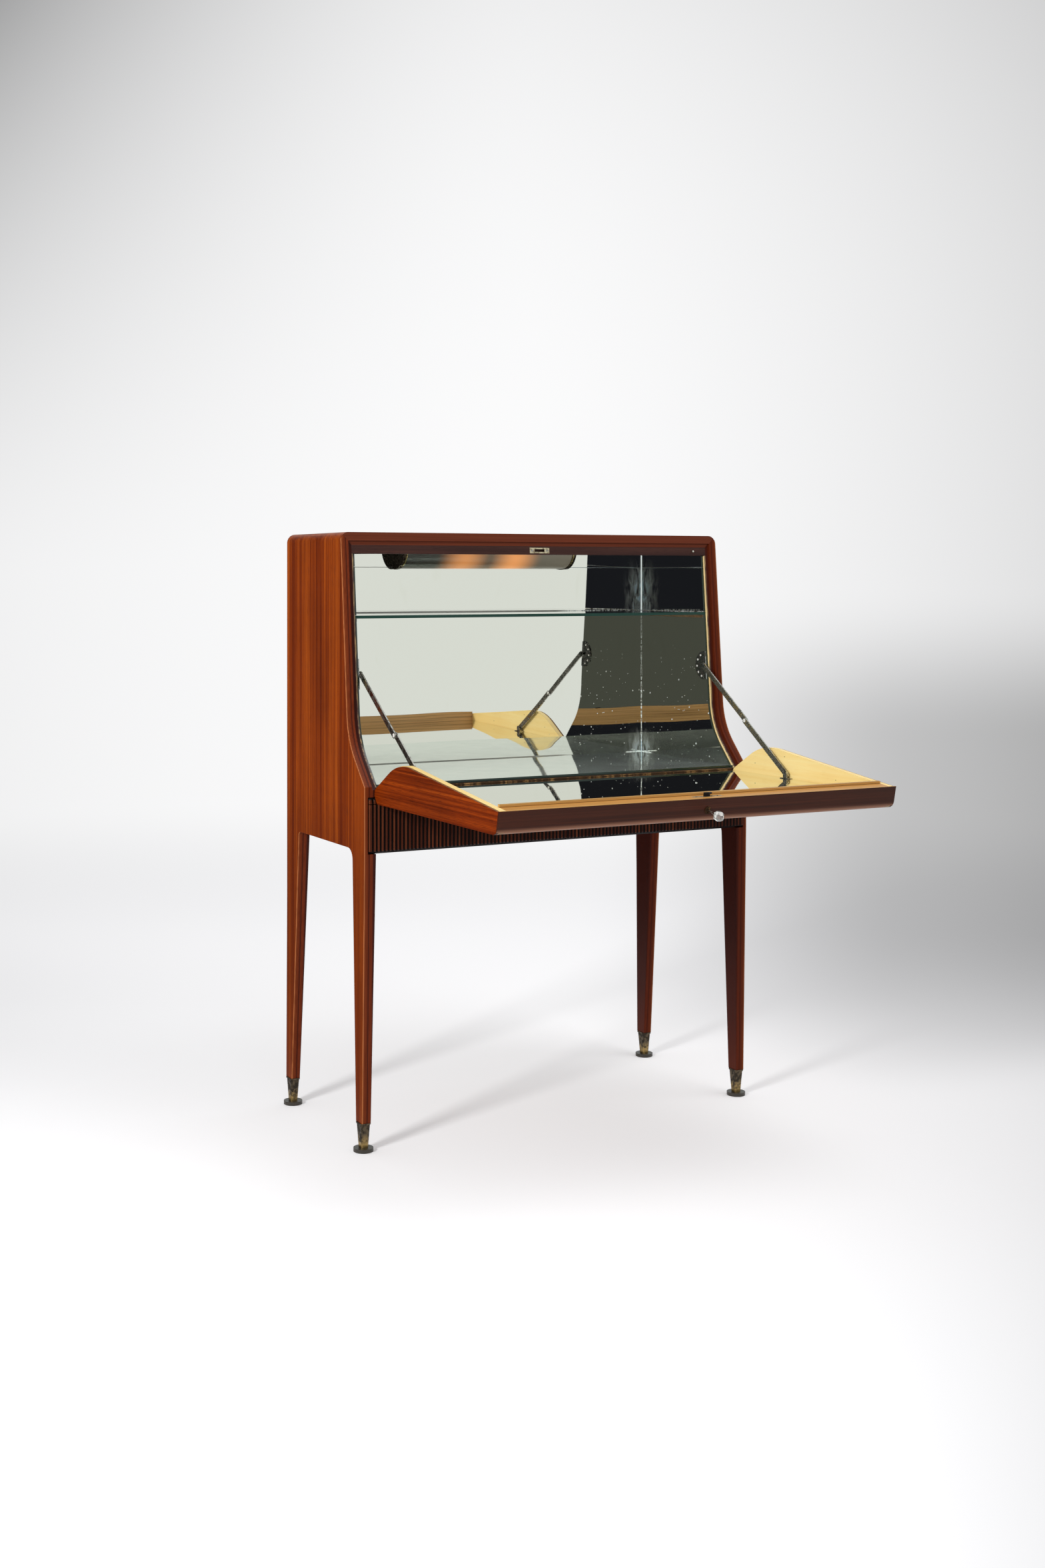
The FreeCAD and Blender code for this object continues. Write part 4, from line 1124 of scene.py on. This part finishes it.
@dataclass
class Stays:
    """Rivets of the two folding stays."""

    plate_x: float = 414.6 * MM
    plate_reach: float = 24.3 * MM
    plate_width: float = 38.0 * MM
    plate_round: float = 30.84 * MM
    pivot_set: float = 3.0 * MM
    link_round: float = 6.0 * MM
    rivet: tuple[float, float] = (2.3 * MM, 1.3 * MM)
    knuckle_radius: float = 4.2 * MM
    knuckle_tail: float = 0.8 * MM
    knuckle_head: float = 1.6 * MM
    angles: tuple[float, ...] = (-68.0, -34.0, 0.0, 34.0, 68.0)

    def plate_spots(self) -> list[tuple[float, float]]:
        """Y and Z of the rivets on a wall plate."""
        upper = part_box("stay_upper_link_right")[1]
        wall = Vector((upper.y - self.link_round, upper.z - self.link_round))
        centre = wall.x - self.pivot_set + self.plate_width - self.plate_round
        spots = []
        for angle in self.angles:
            turn = math.radians(angle)
            across = centre + self.plate_reach * math.cos(turn) - wall.x
            rise = self.plate_reach * math.sin(turn)
            spots.append((
                wall.x + across * math.cos(CASE_LEAN) + rise * math.sin(CASE_LEAN),
                wall.y + rise * math.cos(CASE_LEAN) - across * math.sin(CASE_LEAN),
            ))
        return spots

    def build(self) -> None:
        """Rivet the wall plates and the knuckles."""
        for side, name in ((-1, "left"), (1, "right")):
            inward = Vector((-side, 0, 0))
            work = Work()
            for y, z in self.plate_spots():
                work.dome(Vector((side * self.plate_x, y, z)), inward, *self.rivet)
            work.finish(f"plate_rivets_{name}", "cabinet", Finishes.GLINT_RIVET, "nickel")
            upper_low, upper_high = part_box(f"stay_upper_link_{name}")
            lower_low, lower_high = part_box(f"stay_lower_link_{name}")
            y = upper_low.y + self.link_round
            z = upper_low.z + self.link_round
            outer = Vector((side * max(abs(upper_low.x), abs(upper_high.x)), y, z))
            inner = Vector((side * min(abs(lower_low.x), abs(lower_high.x)), y, z))
            work = Work()
            work.dome(outer, -inward, self.knuckle_radius, self.knuckle_tail)
            work.finish(f"knuckle_rivet_{name}", f"stay_{name}_upper", Finishes.GLINT_RIVET, "nickel")
            work = Work()
            work.dome(inner, inward, self.knuckle_radius, self.knuckle_head)
            work.finish(f"knuckle_head_{name}", f"stay_{name}_lower", Finishes.GLINT_RIVET, "nickel")


@dataclass
class Fittings:
    """Screws, pins and the key's collar."""

    strike_spread: float = 18 * MM
    strike_head: float = 2.6 * MM
    strike_half: float = 0.95 * MM
    lock_spread: float = 0.36
    lock_head: float = 1.9 * MM
    lock_sunk: float = 0.2 * MM
    back_head: tuple[float, float] = (3.6 * MM, 1.6 * MM)
    pin_head: tuple[float, float] = (1.0 * MM, 0.25 * MM)
    pin_spots: tuple[tuple[float, float], ...] = ((-0.012, 0.722), (-0.11, 0.744), (-0.27, 0.712))
    collar_ahead: float = 8.6 * MM

    def screws(self) -> None:
        """Put the screws in the strike, in the lock's plate and in the back."""
        centre = centre_of("strike_plate")
        facing = Vector((0, -math.cos(CASE_LEAN), math.sin(CASE_LEAN)))
        seat = centre + facing * self.strike_half
        work = Work()
        for side, turn in ((-1, 20), (1, 75)):
            spot = seat + Vector((side * self.strike_spread, 0, 0))
            work.slotted(spot, facing, self.strike_head, turn)
        work.finish("strike_screws", "cabinet", Finishes.STEEL, "screw_steel")
        low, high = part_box("lock_case")
        bolt = centre_of("lock_bolt")
        upward = Vector((0, 0, 1))
        work = Work()
        for side, turn in ((-1, 40), (1, 5)):
            x = (low.x + high.x) / 2 + side * (high.x - low.x) * self.lock_spread
            spot = Vector((x, bolt.y, high.z - self.lock_sunk))
            work.slotted(spot, upward, self.lock_head, turn)
        work.finish("lock_screws", "flap", Finishes.STEEL, "screw_steel")
        low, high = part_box("back_panel")
        half = high.x * 0.9
        backward = Vector((0, 1, 0))
        work = Work()
        for z in (low.z + 5 * MM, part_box("floor_board")[0].z + 9 * MM):
            for share in (-1, -1 / 3, 1 / 3, 1):
                work.dome(Vector((share * half, high.y, z)), backward, *self.back_head)
        work.finish("back_panel_screws", "cabinet", Finishes.STEEL, "screw_steel")

    def pins(self) -> None:
        """Set the small pins that show in the cheek linings."""
        work = Work()
        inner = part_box("flap_cheek_lining_right")[0].x
        for side in (-1, 1):
            for y, z in self.pin_spots:
                spot = Vector((side * inner, y, z))
                work.dome(spot, Vector((-side, 0, 0)), *self.pin_head)
        work.finish("cheek_pins", "flap", Finishes.BLACK_IRON, "blackened_steel")

    def key_collar(self) -> None:
        """Turn the collar that holds the knob on the key."""
        ahead = Vector((0, math.cos(KEY_TILT), math.sin(KEY_TILT)))
        seat = centre_of("key_knob") + ahead * self.collar_ahead
        profile = [(0.0, 0.0), (3.4 * MM, 0.0), (3.7 * MM, 0.8 * MM), (2.6 * MM, 2.2 * MM)]
        profile += [(2.4 * MM, 5.0 * MM), (0.0, 5.0 * MM)]
        work = Work()
        work.turned(profile, seat, ahead, 24)
        work.finish("key_collar", "key", Finishes.BRIGHT, "nickel")

    def build(self) -> None:
        """Make every small fitting."""
        self.screws()
        self.pins()
        self.key_collar()


@dataclass
class Lamp:
    """Brass rims and bulbs of the corner lamp."""

    rim: float = 2.2 * MM
    rim_inside: float = 0.93
    rim_proud: float = 0.6 * MM

    def rims(self) -> None:
        """Bend a brass rim round the inner edge of each end cap."""
        low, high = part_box("lamp_end_caps")
        inner_low, inner_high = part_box("lamp_shade")
        reach = high.y - low.y + self.rim_proud
        drop = high.z - low.z + self.rim_proud
        work = Work()
        for start in (inner_low.x - self.rim, inner_high.x):
            part = bmesh.new()
            inside = self.rim_inside
            square = [(inside, 0.0), (1.0, 0.0), (1.0, self.rim), (inside, self.rim)]
            verts = [part.verts.new((start + along, -radius, 0)) for radius, along in square]
            face = part.faces.new(verts)
            bmesh.ops.spin(
                part, geom=[face, *face.edges, *verts], cent=(0, 0, 0), axis=(1, 0, 0),
                dvec=(0, 0, 0), angle=math.pi / 2, steps=20, use_duplicate=False,
            )
            bmesh.ops.scale(part, verts=part.verts, vec=(1, reach, drop))
            bmesh.ops.translate(part, verts=part.verts, vec=(0, high.y, high.z))
            work.take(part)
        work.finish("lamp_rims", "cabinet", Finishes.RIM, "lock_brass")

    def bulbs(self) -> None:
        """Turn the two bulbs."""
        low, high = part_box("lamp_bulbs")
        centre = (low + high) / 2
        radius = (high.z - low.z) / 2
        work = Work()
        for side, start_x in ((1, low.x), (-1, high.x)):
            profile = [(0.0, 0.0), (radius * 0.7, 0.0), (radius, radius * 0.7)]
            for step in range(7):
                turn = step / 6 * math.pi / 2
                along = BULB_LENGTH - radius + radius * math.sin(turn)
                profile.append((radius * math.cos(turn), along))
            start = Vector((start_x, centre.y, centre.z))
            work.turned(profile, start, Vector((side, 0, 0)), 24)
        finish = LitBulb("lit_bulb")
        work.finish("lamp_bulbs_round", "cabinet", finish, "bulb_glass", ["lamp_bulbs"])

    def build(self) -> None:
        """Make the rims and the bulbs."""
        self.rims()
        self.bulbs()


@dataclass
class Dressing:
    """The finish of every node that stays as the model has it."""

    frame: dict
    mirror_lean: float = 0.012
    floor_film: Colour = (0.26, 0.47, 0.38)
    lip_rise: float = 0.3 * MM

    def mirror(self, node: str) -> AgedMirror:
        """The mirror finish of one node, with its own joints.

        Args:
            node: The mirror's node.

        Returns:
            The finish.
        """
        back_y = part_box("mirror_back")[0].y
        corner_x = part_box("mirror_right")[0].x
        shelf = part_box("glass_shelf")[1].z
        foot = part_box("mirror_floor")[1].z
        levels = (MIRROR_JOINT_Z,)
        if node == "mirror_back":
            corner = ((0, corner_x),)
            return AgedMirror(node, 1, -1.0, corner, levels, shelf, foot, self.mirror_lean)
        if node == "mirror_right":
            return AgedMirror(node, 0, -1.0, ((1, back_y),), levels, shelf, foot)
        if node == "mirror_left":
            return AgedMirror(node, 0, 1.0)
        if node == "mirror_floor":
            corners = ((0, corner_x), (1, back_y))
            return AgedMirror(node, 2, 1.0, corners, dust=0.55, bare=self.floor_film)
        if node == "mirror_flap":
            return AgedMirror(node, 2, 1.0, specked=0.2)
        return AgedMirror(node, 2, -1.0)

    def table(self) -> dict[Finish, tuple[str, ...]]:
        """Each finish with the nodes that have it."""
        glows = tuple(
            centre_of("lamp_bulbs").x + side * BULB_LENGTH for side in (-1, 1)
        )
        shelf_low, shelf_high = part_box("glass_shelf")
        lip_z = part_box("flap_rebate_moulding")[1].z + self.lip_rise
        return {
            Finishes.SIDE: ("side_panel_left", "side_panel_right"),
            Finishes.TOP: ("top_panel",),
            Finishes.HEAD: ("head_rail",),
            Finishes.CHEEK: ("flap_cheek_left", "flap_cheek_right"),
            replace(Finishes.DARK_RAIL, lip_z=lip_z): ("flap_front_rail",),
            Finishes.FLAP_FACE: ("flap_board",),
            Finishes.DARK_BOARD: ("floor_board",),
            Finishes.BLONDE: ("flap_cheek_lining_left", "flap_cheek_lining_right"),
            Finishes.UPRIGHT_BLONDE: (
                "side_lining_left", "side_lining_right", "back_lining", "ceiling_lining",
            ),
            Finishes.MOULDING: ("flap_rebate_moulding",),
            Finishes.RAW: (
                "back_panel", "bottom_panel", "drawer_divider",
                "drawer_runners", "drawer_left_box", "drawer_right_box",
                "drawer_left_bottom", "drawer_right_bottom", "shelf_rests",
            ),
            Finishes.PLATE: ("stay_plates",),
            Finishes.NICKEL: (
                "stay_brackets", "stay_upper_link_left", "stay_upper_link_right",
                "stay_lower_link_left", "stay_lower_link_right",
            ),
            Finishes.BRIGHT: ("key", "switch_plunger"),
            Finishes.LOCK_BRASS: ("lock_case", "strike_plate"),
            Finishes.HINGE_BRASS: ("hinge_pin", "escutcheon"),
            Finishes.BLACK_IRON: ("lock_bolt",),
            Finishes.SABOT: ("sabots",),
            Finishes.DISC: ("foot_discs",),
            Finishes.BRONZE: ("lamp_end_caps", "lamp_housing"),
            Finishes.FITTING: ("lamp_holders",),
            PlateGlass("shelf_glass", shelf_low.y, shelf_high.y): ("glass_shelf",),
            Finishes.KNOB: ("key_knob",),
            LitShade("lit_shade", glows): ("lamp_shade",),
        }

    def build(self) -> None:
        """Dress every node."""
        finishes = {node: finish for finish, nodes in self.table().items() for node in nodes}
        for node, piece in self.frame["nodes"].items():
            finish = self.mirror(node) if node.startswith("mirror_") else finishes.get(node)
            if finish is None:
                continue
            piece.data.materials.clear()
            piece.data.materials.append(finish.material())
            LOG.info("%s is dressed in %s", node, finish.name)


@dataclass
class Studio:
    """Floor, world, lamps and camera of the photograph."""

    eye: tuple[float, float, float] = (-1.9258, -3.1208, 1.1137)
    heading_deg: float = -25.87
    focal_px: float = 2741.8
    height_px: float = 2352.0
    sensor_mm: float = 36.0
    shift: tuple[float, float] = (0.080, -0.133)
    page: Colour = (0.98, 0.98, 0.985)
    fill: Colour = (0.6, 0.6, 0.61)
    pale: Colour = (0.8, 0.83, 0.81)
    dark: Colour = (0.012, 0.013, 0.018)
    dusk: Colour = (0.076, 0.081, 0.07)
    aside: Colour = (0.03, 0.025, 0.02)
    floor_radius: float = 9.0
    floor_colour: Colour = (0.9, 0.9, 0.905)
    floor_glow: float = 0.22
    floor_drop: float = 0.4 * MM
    floor_fade: tuple[float, float] = (2.0, 5.5)
    mirrored_to: tuple[float, float] = (1.1, 1.9)
    middle: float = 0.07
    fade_up: float = 0.3
    fade_aside: float = 0.27
    fade_most: float = 1.1
    painted_right_shade: float = 0.32
    target: tuple[float, float, float] = (0, 0, 0.75)

    def tone(self, sheet: Sheet, view: Value) -> Value:
        """Painted shade on the page: paler in the middle, with a painted grey shade at the right.

        Args:
            sheet: The node tree that it is drawn in.
            view: Where a point lies as seen from the camera.

        Returns:
            A tone from 0 to 1.
        """
        heading = -math.radians(self.heading_deg)
        forward = (math.sin(heading), math.cos(heading), 0)
        across = (math.cos(heading), -math.sin(heading), 0)
        dot = {"operation": "DOT_PRODUCT"}
        ahead = sheet.add("ShaderNodeVectorMath", dot, {0: view, 1: forward}, "Value")
        facing = ahead.smooth(0.0, 0.25)
        ahead = abs(ahead) | 0.3
        aside = sheet.add("ShaderNodeVectorMath", dot, {0: view, 1: across}, "Value")
        aside = aside / ahead - self.middle
        rise = sheet.parts(view)[2] / ahead
        up = (rise | 0.0) / self.fade_up & self.fade_most
        left = (aside * -1.0 | 0.0) / self.fade_aside & self.fade_most
        right = (aside | 0.0) / self.fade_aside & self.fade_most
        # loss is painted shade: darker toward the top and toward both sides.
        loss = 0.01 + up ** 2.5 * 0.1 + (up ** 1.3 * 0.34 + 0.08) * left ** 1.7
        loss = loss + right ** 1.6 * 0.2
        # wall is a painted grey shade at the right, below the horizon; foot is a faint painted
        # shadow band low down, darker toward the left.
        wall = aside.smooth(0.03, 0.21) * rise.smooth(-0.005, -0.09) * rise.smooth(-0.29, -0.19)
        foot = rise.smooth(-0.19, -0.235) * rise.smooth(-0.3, -0.25)
        loss = loss + wall * self.painted_right_shade + foot * (left * 0.06 + 0.02)
        return 1.0 - loss * facing

    def camera(self) -> None:
        """Stand the camera where the photograph was taken from."""
        data = bpy.data.cameras.new("camera")
        data.sensor_fit = "AUTO"
        data.sensor_width = self.sensor_mm
        data.lens = self.focal_px / self.height_px * self.sensor_mm
        data.shift_x, data.shift_y = self.shift
        camera = bpy.data.objects.new("camera", data)
        camera.location = self.eye
        camera.rotation_euler = (math.radians(90), 0, math.radians(self.heading_deg))
        bpy.context.scene.collection.objects.link(camera)
        bpy.context.scene.camera = camera

    def world(self) -> None:
        """A pale world, with the dark end of the studio behind the camera.

        The dark end is seen only in mirrors and polished faces. The camera sees the page, with the
        painted shade of its tone.
        """
        world = bpy.data.worlds.new("studio")
        bpy.context.scene.world = world
        world.use_nodes = True
        sheet = Sheet(world.node_tree)
        ray = sheet.add("ShaderNodeLightPath")
        outputs = ray.socket.node.outputs
        direction = sheet.add("ShaderNodeTexCoord", output="Generated")
        x, y, z = sheet.parts(direction)
        behind = x.smooth(0.06, -0.06) * y.smooth(0.1, -0.3) * x.smooth(-0.93, -0.8)
        shade = sheet.mix(z.smooth(-0.026, -0.036), self.dark, self.dusk)
        seen = sheet.mix(behind, self.pale, shade)
        seen = sheet.mix(x.smooth(-0.02, -0.2) * y.smooth(-0.1, 0.1), seen, self.aside)
        mirrored = Value(sheet, outputs["Is Glossy Ray"])
        through = Value(sheet, outputs["Is Transmission Ray"])
        looked = Value(sheet, outputs["Is Camera Ray"])
        light = sheet.mix(mirrored.maths("MAXIMUM", through), self.fill, seen)
        page = sheet.mix(self.tone(sheet, direction), (0, 0, 0), self.page)
        light = sheet.mix(looked, light, page)
        background = sheet.add("ShaderNodeBackground", inputs={"Color": light, "Strength": 1.0})
        sheet.add("ShaderNodeOutputWorld", inputs={"Surface": background})

    def floor(self) -> None:
        """A round pale floor that fades into the page at its rim."""
        made = bmesh.new()
        bmesh.ops.create_circle(
            made, cap_ends=True, cap_tris=False, segments=96, radius=self.floor_radius
        )
        mesh = bpy.data.meshes.new("floor")
        made.to_mesh(mesh)
        made.free()
        floor = bpy.data.objects.new("floor", mesh)
        floor.location.z = -self.floor_drop
        bpy.context.scene.collection.objects.link(floor)
        material = bpy.data.materials.new("pale_floor")
        material.use_nodes = True
        sheet = Sheet(material.node_tree)
        place = sheet.place()
        away = sheet.add("ShaderNodeVectorMath", {"operation": "LENGTH"}, {0: place}, "Value")
        ray = sheet.add("ShaderNodeLightPath").socket.node.outputs
        looked = Value(sheet, ray["Is Camera Ray"])
        mirrored = Value(sheet, ray["Is Glossy Ray"])
        shown = looked.maths("MAXIMUM", mirrored)
        settings = {"operation": "SUBTRACT"}
        view = sheet.add("ShaderNodeVectorMath", settings, {0: place, 1: self.eye}, "Vector")
        tone = self.tone(sheet, view)
        page = sheet.mix(tone, (0, 0, 0), self.page)
        # The floor's colour follows the page tone, so the painted shade lies on the floor too.
        albedo = sheet.mix(tone, (0, 0, 0), self.floor_colour)
        matt = sheet.add("ShaderNodeBsdfDiffuse", inputs={"Color": albedo})
        lift = sheet.add("ShaderNodeEmission", inputs={"Color": page, "Strength": self.floor_glow})
        near = sheet.add("ShaderNodeAddShader", inputs={0: matt, 1: lift})
        near = sheet.add("ShaderNodeMixShader", inputs={0: shown, 1: matt, 2: near})
        x, y, _ = sheet.parts(place)
        beside = x.smooth(-0.46, -0.6) * y.smooth(-0.4, 0.1)
        unseen = (beside | away.smooth(*self.mirrored_to)) * mirrored
        open_air = sheet.add("ShaderNodeBsdfTransparent")
        far = sheet.add("ShaderNodeEmission", inputs={"Color": page, "Strength": 1.0})
        fade = away.smooth(*self.floor_fade) * shown
        mixed = sheet.add("ShaderNodeMixShader", inputs={0: fade, 1: near, 2: far})
        mixed = sheet.add("ShaderNodeMixShader", inputs={0: unseen, 1: mixed, 2: open_air})
        sheet.add("ShaderNodeOutputMaterial", inputs={"Surface": mixed})
        mesh.materials.append(material)

    def lamp(self, name: str, place: Vector, power: float, size: float) -> None:
        """Hang one soft square lamp that faces the cabinet.

        Args:
            name: Its name.
            place: Where it hangs.
            power: Its power in watts.
            size: The side of its square in metres.
        """
        data = bpy.data.lights.new(name, "AREA")
        data.energy = power
        data.size = size
        lamp = bpy.data.objects.new(name, data)
        lamp.location = place
        lamp.rotation_mode = "QUATERNION"
        lamp.rotation_quaternion = (Vector(self.target) - place).to_track_quat("-Z", "Y")
        bpy.context.scene.collection.objects.link(lamp)

    def build(self) -> None:
        """Set up the studio."""
        bpy.context.scene.view_settings.view_transform = "Standard"
        self.camera()
        self.world()
        self.floor()
        self.lamp("key_lamp", Vector((-3.9, -1.65, 2.35)), 120.0, 0.7)
        self.lamp("top_lamp", Vector((0.9, -0.7, 3.6)), 30.0, 1.6)


def main() -> None:
    """Build the cabinet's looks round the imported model."""
    logging.basicConfig(level=logging.INFO, format="%(message)s")
    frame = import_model()
    Studio().build()
    Dressing(frame).build()
    ReededFront().build()
    LongHinge().build()
    Stays().build()
    Lamp().build()
    Fittings().build()


if __name__ == "__main__":
    main()
